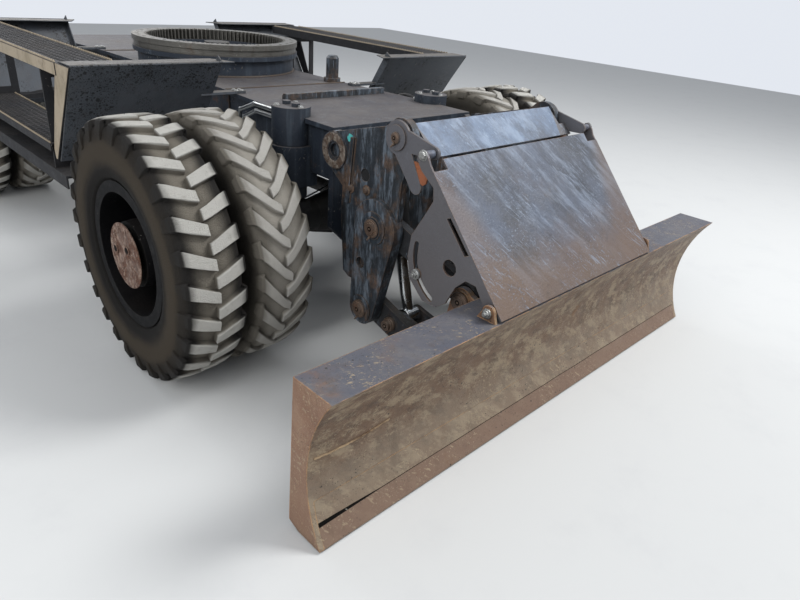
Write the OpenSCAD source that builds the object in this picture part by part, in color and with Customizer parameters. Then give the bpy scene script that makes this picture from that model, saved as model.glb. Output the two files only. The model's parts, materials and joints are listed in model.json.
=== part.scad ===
// Undercarriage of a wheeled excavator with its dozer blade.
// X runs across the machine, Y from the blade (low) to the rear axle, Z up from the ground.
// Pieces are drawn with the front axle at Y = 0 and moved to the middle of the length by place().

/* [Running gear] */
// Distance between the axles
wheelbase = 2800; // [2600:10:3000]
// Diameter over the tyre lugs
tyre_d = 1050; // [1000:5:1070]
// Width of one tyre
tyre_w = 262; // [240:1:275]
// Width of the tread over the tops of the lugs
tread_w = 232; // [200:1:236]
// Distance between the middles of the two tyres of a twin set
dual_spacing = 296; // [290:1:320]
// Distance from the machine's middle to the middle of a twin set
pair_x = 977; // [965:0.5:990]
// Diameter of the rim's bead seat
rim_d = 520; // [500:1:530]
// Height of the tread lugs
lug_h = 24; // [16:1:30]
// Lugs in each row of the outer tyre
outer_lugs = 27; // [18:1:30]
// Lugs in each row of the inner tyre
inner_lugs = 25; // [18:1:28]
// Distance from the machine's middle to the kingpin
kingpin_x = 700; // [690:1:720]

/* [Chassis] */
// Height of the chassis deck above the ground
deck_z = 1000; // [960:5:1040]
// Half width of the deck at its ends
deck_half_end = 434; // [410:1:440]
// Half width of the deck between the axles
deck_half_mid = 390; // [350:1:400]
// Distance from each axle to the end of the deck
deck_overhang = 270; // [250:1:300]
// Outer diameter of the turret pedestal
pedestal_d = 960; // [900:1:1000]
// Height of the pedestal above the deck
pedestal_h = 110; // [80:1:140]
// Pitch circle of the slewing ring bolts
slew_pcd = 900; // [860:1:920]
// Number of slewing ring bolts
slew_bolts = 32; // [24:4:40]
// Diameter of the slewing ring bolt holes
slew_hole_d = 22; // [18:1:24]
// Height of the slewing ring
slew_h = 60; // [45:1:80]
// Teeth of the slewing ring's inner gear
ring_teeth = 96; // [72:1:110]

/* [Blade] */
// Width of the blade
blade_w = 2500; // [2300:10:2550]
// Height of the blade's top edge above the ground
blade_top_z = 574; // [540:1:600]
// Gap between the cutting edge and the ground
blade_lift = 8; // [5:1:20]
// Radius of the blade's hollow face
face_r = 510; // [480:1:600]
// Thickness of the blade's plates
blade_plate = 18; // [14:1:22]
// Thickness of the ribs behind the blade
rib_t = 12; // [8:1:16]
// Height of the bolted cutting edge
edge_h = 150; // [120:1:180]
// Bore radius of the attachment lugs
lug_bore_r = 28; // [24:1:32]
// Running clearance round pins and shafts
fit = 0.3; // [0.2:0.05:0.5]

/* [Hidden] */

axle_z = tyre_d / 2;
front_reach = 1293;
mid_y = (wheelbase + axle_z - front_reach) / 2;
slew_y = wheelbase / 2;
outer_x = pair_x + dual_spacing / 2;
inner_x = pair_x - dual_spacing / 2;
rim_r = rim_d / 2;
tread_r = axle_z - lug_h;

// Underside of the chassis between the axles, the front axle's swing pin and its lock cylinders
belly_z = 620;
trunnion_z = axle_z + 180;
lock_at = [445, 12];

// Box under the deck: its underside and how far it sits in from the deck's edge
box_low = deck_z - 235;
box_inset = 25;

// Pivots of the blade linkage as [Y, Z]
arm_pivot = [-550, 300];
link_pivot = [-600, 680];
arm_run = [-460, -140];
blade_low_pin = arm_pivot + arm_run;
blade_high_pin = link_pivot + arm_run;
cylinder_top = [-510, 868];
cylinder_eye = [-680, 262];
guard_boss = [-690, 1055];
guard_knee = [-873, 1039];
guard_foot = [-1248, 604];
front_lug = [-318, 922];
rear_lug = [-400, 920];

// Layers across the machine, from the middle outwards
cylinder_x = 320;
arm_in = deck_half_end - 39;
arm_out = deck_half_end - 4;
bracket_in = deck_half_end + 1;
bracket_out = bracket_in + 30;
hanger_in = bracket_out + 6;
hanger_out = hanger_in + 10;
leg_out = bracket_out + 22;
cheek_in = hanger_out + 46;
cheek_out = cheek_in + 8;
foot_in = cheek_out + 10;

$fn = 64;

// Moves a piece from the front-axle frame to the part's own frame
module place() translate([0, -mid_y, 0]) children();

// Extrudes an outline drawn in Y and Z along X
module across(x0, w) translate([x0, 0, 0]) rotate([90, 0, 90]) linear_extrude(w) children();

// Draws the children on the left and mirrored on the right
module both_sides() {
    children();
    mirror([1, 0, 0]) children();
}

// Cylinder along X at a [Y, Z] point
module bar_x(x0, w, at, r) translate([x0, at[0], at[1]]) rotate([0, 90, 0]) cylinder(h = w, r = r);

// Cylinder along Y at an [X, Z] point
module bar_y(y0, l, at, r) translate([at[0], y0, at[1]]) rotate([-90, 0, 0]) cylinder(h = l, r = r);

// Circle at a point of a Y and Z outline
module disc(at, r) translate(at) circle(r = r);

// Extrudes an outline drawn in X and Z along Y
module along(y0, l) translate([0, y0 + l, 0]) rotate([90, 0, 0]) linear_extrude(l) children();

// Disc with a smaller hole, both along X at a [Y, Z] point
module ring_x(x0, w, at, r, hole) difference() {
    bar_x(x0, w, at, r);
    bar_x(x0 - 1, w + 2, at, hole);
}

// Box from its lowest corner to its highest
module block(lo, hi) translate(lo) cube(hi - lo);

// Straight bar with round ends between two points of a Y and Z outline
module strut(a, b, ra, rb) {
    d = b - a;
    l = norm(d);
    turn = atan2(d[1], d[0]);
    s = asin((ra - rb) / l);
    n1 = [cos(turn + 90 - s), sin(turn + 90 - s)];
    n2 = [cos(turn - 90 + s), sin(turn - 90 + s)];
    polygon([a + ra * n1, a + ra * n2, b + rb * n2, b + rb * n1]);
    disc(a, ra);
    disc(b, rb);
}

// Chassis

// Weld seams that part the frame into its front, middle and rear boxes
front_seam = 650;
rear_seam = wheelbase - 650;

module frame_part(y0, y1) color("#26313b") place() intersection() {
    chassis_body();
    block([-700, y0, 0], [700, y1, 2 * deck_z]);
}

module frame_front() frame_part(-wheelbase, front_seam);
module chassis_frame() frame_part(front_seam, rear_seam);
module frame_rear() frame_part(rear_seam, 2 * wheelbase);

module chassis_body() {
    y0 = -deck_overhang;
    y1 = wheelbase + deck_overhang;
    neck = 565;
    deck_t = 20;
    difference() {
        union() {
            translate([0, 0, deck_z - deck_t]) linear_extrude(deck_t) deck_plan(0);
            translate([0, 0, box_low]) linear_extrude(deck_z - box_low - deck_t + 1) deck_plan(box_inset);
            belly(neck, wheelbase - neck - 110);
            for (y = [y0, y1 - 30]) along(y, 30) end_plate_outline();
            both_sides() ear(front_lug, 25 - deck_overhang);
            both_sides() lock_sleeve();
            for (y = [-165, 140]) along(y, 25) trunnion_plate();
        }
        bar_y(-170, 340, [0, trunnion_z], 30 + fit);
        both_sides() translate([lock_at[0], lock_at[1], 600]) cylinder(h = 500, r = 72 + fit);
        both_sides() translate([lock_at[0], lock_at[1], 880 - fit]) cylinder(h = 200, r = 85 + fit);
        translate([0, slew_y, deck_z - 240]) cylinder(h = 300, r = pedestal_d / 2 - 130);
        both_sides() bar_x(arm_in - 20, 60, front_lug, lug_bore_r);
        both_sides() for (y = [slew_y - 420, slew_y + 420])
            bar_x(deck_half_mid - box_inset - 25, 40, [y, (deck_z + box_low) / 2], 70);
    }
}

// Stepped belly of the frame between the axles
module belly(y0, y1) {
    half = deck_half_mid - 60;
    across(-half, 2 * half) polygon([
        [y0 - 120, box_low + 5], [y0, belly_z + 60], [y0 + 60, belly_z],
        [y1 - 60, belly_z], [y1, belly_z + 60], [y1, box_low + 5]
    ]);
}

// End plate of the frame, drawn in X and Z, cut back under the axle's swing pin
module end_plate_outline() {
    half = arm_out;
    polygon([
        [-half, deck_z - 15], [half, deck_z - 15], [half, 560], [half - 80, 480],
        [150, 480], [100, 560], [-100, 560], [-150, 480], [-half + 80, 480], [-half, 560]
    ]);
}

module trunnion_plate() {
    disc([0, trunnion_z], 62);
    polygon([[-62, trunnion_z], [62, trunnion_z], [170, box_low + 5], [-170, box_low + 5]]);
}

// Round pocket at the corner of the frame that a lock cylinder stands in
module lock_sleeve() {
    translate([lock_at[0], lock_at[1], 700]) cylinder(h = 180 - fit, r = 100);
    block([deck_half_end - 60, lock_at[1] - 100, 700], [lock_at[0], lock_at[1] + 100, 880 - fit]);
}

// Half width of the box under the deck at a Y of its tapering side
function box_side(y) = deck_half_end - box_inset - (deck_half_end - deck_half_mid) * (y - 100) / 600;

// Outline of the deck from above, drawn in by a margin
module deck_plan(m) polygon([
    [-deck_half_end + m, -deck_overhang + m / 4], [deck_half_end - m, -deck_overhang + m / 4],
    [deck_half_end - m, 100], [deck_half_mid - m, 700],
    [deck_half_mid - m, wheelbase - 700], [deck_half_end - m, wheelbase - 100],
    [deck_half_end - m, wheelbase + deck_overhang - m / 4], [-deck_half_end + m, wheelbase + deck_overhang - m / 4],
    [-deck_half_end + m, wheelbase - 100], [-deck_half_mid + m, wheelbase - 700],
    [-deck_half_mid + m, 700], [-deck_half_end + m, 100]
]);

// Ear that carries an attachment, from its root at the end of the deck, drawn for the front end
module ear(lug, root) across(arm_in, arm_out - arm_in) difference() {
    union() {
        disc(lug, 50);
        polygon([lug - [0, 50], [root, 800], [root, deck_z - 1], lug + [0, 50]]);
    }
    disc(lug, lug_bore_r);
}

// Cross bar and hose post on the deck, and the pair of ears at its rear end
module deck_fittings() color("#3a4652") place() {
    bar_end = deck_half_mid - 20;
    post = [deck_half_mid - 50, 705, deck_z];
    across(-270, bar_end + 270) polygon([
        [290, deck_z], [330, deck_z], [330, deck_z + 18], [318, deck_z + 30], [290, deck_z + 30]
    ]);
    translate(post) {
        cylinder(h = 22, r = 48);
        cylinder(h = 130, r = 36);
        translate([0, 0, 130]) cylinder(h = 14, r1 = 36, r2 = 26);
    }
    translate([0, wheelbase, 0]) mirror([0, 1, 0]) both_sides() ear(rear_lug, -deck_overhang - fit);
}

module slew_pedestal() color("#2b3a49") place() translate([0, slew_y, deck_z]) {
    difference() {
        union() {
            cylinder(h = pedestal_h, r = pedestal_d / 2 - 25);
            translate([0, 0, pedestal_h - 25]) cylinder(h = 25, r = pedestal_d / 2);
        }
        translate([0, 0, -1]) cylinder(h = pedestal_h + 2, r = slew_pcd / 2 - 60);
    }
}

module slew_ring() color("#5a5a58") place() translate([0, slew_y, deck_z + pedestal_h]) difference() {
    union() {
        cylinder(h = slew_h, r = pedestal_d / 2 - 8);
        translate([0, 0, slew_h / 2 + 2]) cylinder(h = slew_h / 2 - 2, r = pedestal_d / 2);
    }
    translate([0, 0, -1]) linear_extrude(slew_h + 2) polygon(ring_gear(slew_pcd / 2 - 38, 16));
    for (i = [0:slew_bolts - 1]) rotate(i * 360 / slew_bolts) translate([slew_pcd / 2, 0, -1])
        cylinder(h = slew_h + 2, r = slew_hole_d / 2, $fn = 24);
}

// Outline of the inner gear: root radius r, teeth h deep that narrow towards the middle
function ring_gear(r, h) = let (p = 360 / ring_teeth) [
    for (i = [0:ring_teeth - 1], c = [[0.08, r], [0.42, r], [0.62, r - h], [0.88, r - h]])
        c[1] * [cos((i + c[0]) * p), sin((i + c[0]) * p)]
];

module centre_joint() color("#30343a") place() translate([0, slew_y, deck_z - 240]) {
    cylinder(h = 30, r = 160);
    cylinder(h = 300, r = 90);
    translate([0, 0, 300]) cylinder(h = 30, r1 = 90, r2 = 74);
    translate([0, 0, 330]) cylinder(h = 50, r = 74);
    for (a = [45:90:315]) rotate(a) translate([60, -22, 200]) cube([52, 44, 60]);
}

// Blade bracket

module bracket_plate() difference() {
    union() {
        polygon([
            [-320, 1000], [-466, 1040], [-609, 1078], [-672, 1121], [-757, 1045], [-712, 880], [-704, 720],
            [-600, 620], [-520, 400], [-434, 400], [-399, 418], [-371, 680], [-376, 788], [-300, 842]
        ]);
        disc(front_lug, 78);
        disc(guard_boss, 68);
        leg_outline();
    }
    disc(front_lug, lug_bore_r);
    disc(guard_boss, 22 + fit);
    disc(cylinder_top, 25 + fit);
}

// Leg that carries the link's pin in its head and the arm's pin in its foot
module leg_outline() strut(link_pivot, arm_pivot, 115, 72);

module blade_bracket() color("#5b6d7c") place() {
    both_sides() {
        across(bracket_in, bracket_out - bracket_in) bracket_plate();
        across(bracket_out - 1, leg_out - bracket_out + 1) difference() {
            leg_outline();
            disc(link_pivot + [70, -175], 24);
        }
        across(bracket_out - 1, 12) polygon([[-446, 1000], [-426, 1000], [-404, 729], [-424, 729]]);
        ring_x(bracket_out - 1, 7, front_lug, 76, lug_bore_r + 8);
        stepped_pin(arm_pivot, 32, 60);
        stepped_pin(link_pivot, 28, 66);
        bar_x(arm_in - 5, 60, front_lug, lug_bore_r - fit);
        for (z = [500, 700]) block([240, -373, z], [340, -deck_overhang, z + 70]);
        for (z = [560, 780]) translate([0, 0, z]) linear_extrude(12)
            polygon([[bracket_in + 1, -373], [bracket_in + 1, -480], [arm_in - 10, -399], [arm_in - 10, -373]]);
    }
    block([-bracket_in - 1, -400, 480], [bracket_in + 1, -372, 960]);
    difference() {
        both_sides() across(cylinder_x - 80, 20) cylinder_ear();
        both_sides() bar_x(cylinder_x - 90, 40, cylinder_top, 25 + fit);
    }
}

// Pin through the leg with a wide collar and a cap on the outside
module stepped_pin(at, r, collar) {
    bar_x(arm_in - 9, leg_out - arm_in + 10, at, r);
    bar_x(leg_out - 1, 7, at, collar);
    bar_x(leg_out + 5, 5, at, collar - 20);
    bar_x(leg_out + 9, 5, at, r - 6);
}

module cylinder_ear() {
    disc(cylinder_top, 45);
    polygon([[-399, 960], [-399, 780], [-500, 822], [-520, 913]]);
}

// Axles

module axle_body(reach) {
    bar_x(-reach, 2 * reach, [0, axle_z], 78);
    both_sides() translate([105, 0, axle_z]) rotate([0, 90, 0]) cylinder(h = 230, r1 = 124, r2 = 79);
    translate([0, 0, axle_z]) sphere(r = 150);
    bar_y(-156, 40, [0, axle_z], 96);
    translate([0, 98, axle_z]) rotate([-90, 0, 0]) cylinder(h = 62, r1 = 98, r2 = 62);
    bar_y(0, 215, [0, axle_z], 60);
}

module front_axle() color("#1c1f23") place() {
    axle_body(570);
    both_sides() {
        bar_x(535, 30, [0, axle_z], 112);
        block([555, -60, axle_z - 190], [595, 60, axle_z + 190]);
        for (z = [axle_z - 190, axle_z + 150]) translate([0, 0, z]) linear_extrude(40) yoke_arm();
        along(-60, 120) polygon([
            [370, axle_z], [520, axle_z], [500, axle_z + 95], [390, axle_z + 95]
        ]);
        difference() {
            across(190, 20) polygon([
                [0, axle_z - 20], [0, axle_z - 120], [steer_y - 50, steer_z - 60],
                [steer_y + 40, steer_z - 60], [steer_y + 60, steer_z], [steer_y + 50, steer_z + 60], [90, axle_z - 20]
            ]);
            bar_x(180, 40, [steer_y, steer_z], 45 + fit);
        }
    }
    along(-134, 268) {
        disc([0, trunnion_z], 56);
        polygon([[-130, axle_z + 60], [130, axle_z + 60], [56, trunnion_z], [-56, trunnion_z]]);
    }
    bar_y(-175, 350, [0, trunnion_z], 30);
}

// Arm of the axle's fork seen from above, round about the kingpin
module yoke_arm() {
    translate([kingpin_x, 0]) circle(r = 74);
    polygon([[560, -66], [kingpin_x, -74], [kingpin_x, 74], [560, 66]]);
}

module rear_axle() color("#1c1f23") place() translate([0, wheelbase, 0]) {
    mirror([0, 1, 0]) axle_body(640);
    both_sides() {
        bar_x(590, 30, [0, axle_z], 120);
        bar_x(595, 60, [0, axle_z], 168);
        bar_x(650, pair_x - 13 - 650, [0, axle_z], 88);
        across(250, 130) polygon([
            [-90, axle_z], [90, axle_z], [130, box_low], [-130, box_low]
        ]);
    }
}

// Drop gearbox with the travel motor above its input shaft
module travel_gearbox() color("#23262b") place() translate([0, wheelbase, 0]) {
    along(-360, 144.7) strut([0, axle_z - 70], [0, axle_z + 110], 130, 112);
    along(-372, 20) strut([0, axle_z - 70], [0, axle_z + 110], 112, 96);
    bar_y(-560, 200, [0, axle_z], 58);
    bar_y(-530, 170, [0, axle_z + 122], 62);
    bar_y(-480, 60, [0, axle_z + 122], 78);
    along(-345, 100) polygon([[-90, axle_z + 170], [90, axle_z + 170], [120, box_low], [-120, box_low]]);
}

module drive_shaft() color("#3a3d40") place() {
    bar_y(215.3, 25, [0, axle_z], 60);
    translate([0, 240, axle_z]) rotate([-90, 0, 0]) cylinder(h = 60, r1 = 52, r2 = 38);
    bar_y(230, wheelbase - 820, [0, axle_z], 38);
    translate([0, wheelbase - 640, axle_z]) rotate([-90, 0, 0]) cylinder(h = 56, r1 = 38, r2 = 52);
    bar_y(wheelbase - 585.3, 25, [0, axle_z], 60);
}

module axle_locks() color("#2c3742") place() both_sides() translate([lock_at[0], lock_at[1], 0]) {
    translate([0, 0, 880]) cylinder(h = 161, r = 85);
    translate([0, 0, 640]) cylinder(h = 241, r = 72);
    translate([0, 0, axle_z + 95.3]) cylinder(h = 30, r = 40);
    for (y = [-34, 34]) translate([0, y, 1040]) cylinder(h = 16, r = 20, $fn = 6);
}

// Steering

steer_y = 215;
steer_z = 415;
ball_x = 632;
rod_end_x = 450;

module steering_cylinder() color("#1f2226") place() difference() {
    union() {
        bar_x(-260, 520, [steer_y, steer_z], 45);
        both_sides() bar_x(236, 24, [steer_y, steer_z], 52);
    }
    bar_x(-261, 522, [steer_y, steer_z], 22 + fit);
}

module steering_rod() color("#a8abad") place() {
    bar_x(-410, 820, [steer_y, steer_z], 22);
    both_sides() {
        block([400, steer_y - 30, steer_z - 36], [412, steer_y + 30, steer_z + 36]);
        for (z = [steer_z - 36, steer_z + 20])
            rod_fork(z);
    }
}

module rod_fork(z) {
    block([400, steer_y - 30, z], [rod_end_x, steer_y + 30, z + 16]);
    translate([rod_end_x, steer_y, z]) cylinder(h = 16, r = 30);
}

module tie_rod() {
    translate([rod_end_x, steer_y, steer_z - 14]) difference() {
        cylinder(h = 28, r = 34);
        translate([0, 0, -1]) cylinder(h = 30, r = 18);
    }
    bar_x(rod_end_x + 30, ball_x - rod_end_x - 55, [steer_y, steer_z], 13);
    translate([ball_x, steer_y, steer_z - 14]) cylinder(h = 28, r = 26);
}

module tie_rod_left() color("#33363a") place() tie_rod();
module tie_rod_right() color("#33363a") place() mirror([1, 0, 0]) tie_rod();

module knuckle() {
    translate([kingpin_x, 0, axle_z - 149.7]) cylinder(h = 299.4, r = 72);
    bar_x(kingpin_x, pair_x - 13 - kingpin_x, [0, axle_z], 88);
    bar_x(kingpin_x + 74, 24, [0, axle_z], 116);
    translate([0, 0, steer_z - 38]) linear_extrude(24 - fit) strut([kingpin_x, 0], [ball_x, steer_y], 45, 28);
}

module knuckle_left() color("#1c1f23") place() knuckle();
module knuckle_right() color("#1c1f23") place() mirror([1, 0, 0]) knuckle();

// Wheels

// Half width of the tyre at a radius: widest at belly_r, drawn in to the rim and to the tread
belly_r = (rim_r + tread_r) / 2;
function side_x(r) = let (end = r > belly_r ? [tread_r, tread_w / 2 - 7] : [flange_r, rim_half + 8])
    tyre_w / 2 - (tyre_w / 2 - end[1]) * pow((r - belly_r) / (end[0] - belly_r), 2);

// Bead seat, bulging side wall and a flat crown, as [radius, X] points of one half
function half_section() = let (r0 = flange_r + 6, steps = 6) concat(
    [[rim_r + fit, rim_half - 12 - fit], [flange_r + fit, rim_half - 12 - fit]],
    [for (i = [0:steps]) let (r = r0 + (tread_r - r0) * i / steps) [r, side_x(r)]]
);

function mirrored(pts) = [for (i = [len(pts) - 1:-1:0]) [pts[i][0], -pts[i][1]]];

module tyre_carcass() rotate([0, 90, 0]) rotate_extrude($fn = 96)
    polygon(concat(half_section(), mirrored(half_section())));

// Space that the lugs fill: up from the side wall, over the shoulder and out to the crown
module lug_envelope() rotate([0, 90, 0]) rotate_extrude($fn = 96) {
    half = [[tread_r - 56, side_x(tread_r - 56) - 3], [tread_r - 34, tread_w / 2 + 9], [axle_z, tread_w / 2]];
    polygon(concat(half, mirrored(half)));
}

// A bar of the tread from above: narrow by the middle, wide at the shoulder and slanting back to it
module lug_outline(w_mid, w_edge, slope) {
    x0 = 6;
    x1 = tyre_w / 2;
    lead = slope * (x1 - x0) / 2;
    polygon([[x0, -lead - w_mid / 2], [x1, lead - w_edge / 2], [x1, lead + w_edge / 2], [x0, w_mid / 2 - lead]]);
}

// Two rows of bars, the second row half a pitch on
module tyre(lugs, w_mid, w_edge, slope) {
    tyre_carcass();
    intersection() {
        lug_envelope();
        for (side = [0, 1], i = [0:lugs - 1]) rotate([(i + side / 2) * 360 / lugs, 0, 0]) mirror([side, 0, 0])
            translate([0, 0, tread_r - 70]) linear_extrude(lug_h + 90) lug_outline(w_mid, w_edge, slope);
    }
}

module outer_tyre() tyre(outer_lugs, 38, 58, 0.4);
module inner_tyre() tyre(inner_lugs, 33, 62, 1.15);

// Puts a wheel piece on its axle, its outer side away from the machine
module at_wheel(x, side, y) place() translate([side * x, y, axle_z]) scale_side(side) children();
module scale_side(side) if (side > 0) children(); else mirror([1, 0, 0]) children();

module tyre_fl_outer() color("#2b2724") at_wheel(outer_x, 1, 0) outer_tyre();
module tyre_fl_inner() color("#6f6a62") at_wheel(inner_x, 1, 0) inner_tyre();
module tyre_fr_outer() color("#2b2724") at_wheel(outer_x, -1, 0) outer_tyre();
module tyre_fr_inner() color("#6f6a62") at_wheel(inner_x, -1, 0) inner_tyre();
module tyre_rl_outer() color("#2b2724") at_wheel(outer_x, 1, wheelbase) outer_tyre();
module tyre_rl_inner() color("#6f6a62") at_wheel(inner_x, 1, wheelbase) inner_tyre();
module tyre_rr_outer() color("#2b2724") at_wheel(outer_x, -1, wheelbase) outer_tyre();
module tyre_rr_inner() color("#6f6a62") at_wheel(inner_x, -1, wheelbase) inner_tyre();

rim_half = 104;
flange_r = 292;

module rim_band(x) translate([x, 0, 0]) rotate([0, 90, 0]) rotate_extrude($fn = 96) {
    translate([rim_r - 12, -rim_half]) square([12, 2 * rim_half]);
    for (s = [-1, 1]) translate([rim_r - 12, s > 0 ? rim_half - 12 : -rim_half])
        square([flange_r - rim_r + 12, 12]);
}

module wheel_set() {
    hub_r = 135;
    hub_face = 230;
    spindle_r = 88.5;
    rim_band(outer_x - pair_x);
    rim_band(inner_x - pair_x);
    ring_x(-60, 120, [0, 0], rim_r - 11.5, rim_r - 26);
    ring_x(0, 16, [0, 0], rim_r - 20, hub_r - 20);
    rotate([0, 90, 0]) rotate_extrude() polygon([
        [spindle_r, -130], [hub_r, -130], [hub_r, -12], [hub_r + 30, -12], [hub_r + 30, 0.5], [hub_r, 0.5],
        [hub_r, hub_face - 30], [hub_r - 4, hub_face], [0, hub_face], [0, -11.7], [spindle_r, -11.7]
    ]);
}

module wheel_fl() color("#17181a") at_wheel(pair_x, 1, 0) wheel_set();
module wheel_fr() color("#17181a") at_wheel(pair_x, -1, 0) wheel_set();
module wheel_rl() color("#17181a") at_wheel(pair_x, 1, wheelbase) wheel_set();
module wheel_rr() color("#17181a") at_wheel(pair_x, -1, wheelbase) wheel_set();

// Fenders and steps

fender_top = [420, 1165];
fender_low = [725, 715];
fender_out = 1190;
fender_in = 530;

// Slanting plate with a flange along its top and a lip down its inner edge
module fender() {
    plate = 5;
    d = (fender_low - fender_top) / norm(fender_low - fender_top);
    n = [-d[1], d[0]];
    top_in = fender_in - 60;
    across(-fender_out, fender_out - fender_in) polygon([fender_top, fender_low, fender_low + n * plate, fender_top + n * plate]);
    across(-fender_in - plate, plate) polygon([fender_top, fender_low, fender_low + n * 28, fender_top + n * 45]);
    translate([0, 0, fender_top[1] - plate]) linear_extrude(plate) polygon([
        [-fender_out, fender_top[0]], [-top_in, fender_top[0]], [-fender_in, fender_top[0] + 120],
        [-fender_out, fender_top[0] + 120]
    ]);
}

// Two flat stays that carry the fender on the deck
module fender_stay() for (y = [526, 552])
    block([-fender_in - 60, y, deck_z], [-350, y + 22, deck_z + 12]);

module front_fenders() color("#4b5055") place() both_sides() {
    fender();
    fender_stay();
}

module rear_fenders() color("#4b5055") place() translate([0, wheelbase, 0]) mirror([0, 1, 0]) both_sides() {
    fender();
    fender_stay();
}

step_out = fender_out + 10;
step_in = step_out - 235;
top_tread = [574, 1157];
low_tread = [764, 790];

// Tread folded down along both edges, from its end at [Y, Z] to the same place at the other end
module tread(end, out, inner, fold) along(end[0], wheelbase - 2 * end[0]) {
    plate = 5;
    polygon([
        [-out, end[1] - fold], [-out, end[1]], [-inner, end[1]], [-inner, end[1] - fold],
        [-inner - plate, end[1] - fold], [-inner - plate, end[1] - plate],
        [-out + plate, end[1] - plate], [-out + plate, end[1] - fold]
    ]);
}

// Frame across the treads, open between them
module step_frame(y) along(y, 8) difference() {
    polygon([
        [-step_out + 6, top_tread[1] - 4], [-step_in, top_tread[1] - 4], [-step_in, low_tread[1] - 60],
        [-step_in - 120, 614], [-step_out + 2, 614]
    ]);
    polygon([
        [-step_out + 45, top_tread[1] - 90], [-step_in - 40, top_tread[1] - 90], [-step_in - 40, low_tread[1] + 40],
        [-step_out + 45, low_tread[1] + 40]
    ]);
}

// Arm from the frame's box out to the low tread
module step_arm(y) along(y, 70) {
    root = deck_half_mid - box_inset;
    polygon([
        [-step_in - 55, low_tread[1] - 33], [-step_in - 55, low_tread[1] - 4], [-step_in + 65, low_tread[1] - 4],
        [-root, 870], [-root, 780]
    ]);
}

// Plate that runs down from the top tread along the fender's outer edge, narrow at its foot
module stringer() across(-fender_out - 6.3, 6) polygon([
    [fender_top[0] + 4, top_tread[1]], top_tread, top_tread - [-24, 50],
    [low_tread[0], low_tread[1] - 24], [low_tread[0] - 8, low_tread[1] - 68], [fender_low[0] + 12, low_tread[1] - 68]
]);

module steps() {
    frame_y = low_tread[0] + 26;
    fold = 50;
    tread(top_tread, step_out, step_in - 5, fold);
    tread(low_tread, step_out + 12, step_in + 25, fold - 16);
    along(640, wheelbase - 1280) polygon([
        [-step_out - 6, 612], [-step_out - 6, 672], [-step_in - 120, 672],
        [-step_in - 120, 664], [-step_out + 2, 664], [-step_out + 2, 612]
    ]);
    for (y = [frame_y, wheelbase - frame_y]) {
        step_frame(y - 4);
        step_arm(y - 35);
    }
    stringer();
    translate([0, wheelbase, 0]) mirror([0, 1, 0]) stringer();
}

module steps_right() color("#2a2b2d") place() steps();
module steps_left() color("#2a2b2d") place() mirror([1, 0, 0]) steps();

module tow_hitch() color("#23262b") place() translate([0, wheelbase + deck_overhang, 0]) difference() {
    union() {
        along(0.3, 25) polygon([[-70, 620], [70, 620], [110, 670], [110, 820], [70, 870], [-70, 870], [-110, 820], [-110, 670]]);
        for (z = [690, 765]) translate([0, 0, z]) linear_extrude(25) {
            translate([0, 105]) circle(r = 48);
            polygon([[-75, 20], [75, 20], [47, 112], [-47, 112]]);
        }
        across(-6, 12) polygon([[20, 850], [20, 789], [78, 789]]);
        across(-6, 12) polygon([[20, 640], [20, 691], [78, 691]]);
    }
    translate([0, 105, 600]) cylinder(h = 300, r = 20);
}

// Steel pipe through [Y, Z] points at one X, with a coupling at each bend, that turns in to the frame
module pipe(pts, x, r) {
    for (i = [0:len(pts) - 2]) let (d = pts[i + 1] - pts[i])
        translate([x, pts[i][0], pts[i][1]]) rotate([atan2(-d[0], d[1]), 0, 0]) cylinder(h = norm(d), r = r);
    for (i = [1:len(pts) - 1]) translate([x, pts[i][0], pts[i][1]]) sphere(r = r + 2);
    end = pts[len(pts) - 1];
    into = box_side(end[0] - r) + 2 * fit;
    bar_x(x, -x - into, end, r);
}

module hydraulic_pipes() color("#8d9092") place() {
    start = lock_at[1] + 85 + fit;
    pipe([[start, deck_z - 4], [300, deck_z - 4], [425, deck_z - 52], [442, deck_z - 140]], -lock_at[0], 10);
    pipe([[start, deck_z - 34], [288, deck_z - 34], [392, deck_z - 80], [404, deck_z - 170]], -lock_at[0], 10);
}

// Blade linkage

module lower_arm() color("#3b4045") place() difference() {
    union() {
        both_sides() {
            across(arm_in, arm_out - arm_in) strut(arm_pivot, blade_low_pin, 62, 58);
            ring_x(arm_in - 10, 11, arm_pivot, 50, 34);
            for (x = [cylinder_x - 60, cylinder_x + 40]) across(x, 20)
                strut(arm_pivot + arm_run * 0.5, cylinder_eye, 50, 38);
            bar_x(cylinder_x - 66, 132, cylinder_eye, 17);
            bar_x(arm_out - 1, 2.5, cylinder_eye, 40);
        }
        bar_x(-arm_in - 1, 2 * arm_in + 2, arm_pivot + arm_run * 0.55, 60);
        across(-arm_in - 1, 2 * arm_in + 2) polygon([
            arm_pivot + arm_run * 0.44 + [0, 8], arm_pivot + arm_run * 0.44 + [0, -10],
            arm_pivot + arm_run * 0.5 + [0, -10], arm_pivot + arm_run * 0.5 + [0, 8]
        ]);
    }
    both_sides() bar_x(arm_in - 15, 60, arm_pivot, 32 + fit);
    both_sides() bar_x(arm_in - 15, 60, blade_low_pin, 30 + fit);
}

module upper_links() color("#3b4045") place() both_sides() difference() {
    union() {
        across(arm_in, arm_out - arm_in) strut(link_pivot, blade_high_pin, 55, 50);
        ring_x(arm_in - 10, 11, link_pivot, 46, 30);
    }
    bar_x(arm_in - 15, 60, link_pivot, 28 + fit);
    bar_x(arm_in - 15, 60, blade_high_pin, 28 + fit);
}

// Blade

face_y = -1700;
face_z = 265;

module face_band(z0, z1, t) intersection() {
    difference() {
        translate([face_y, face_z]) circle(r = face_r + t, $fn = 128);
        translate([face_y, face_z]) circle(r = face_r, $fn = 128);
    }
    translate([face_y, z0]) square([600, z1 - z0]);
}

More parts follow.
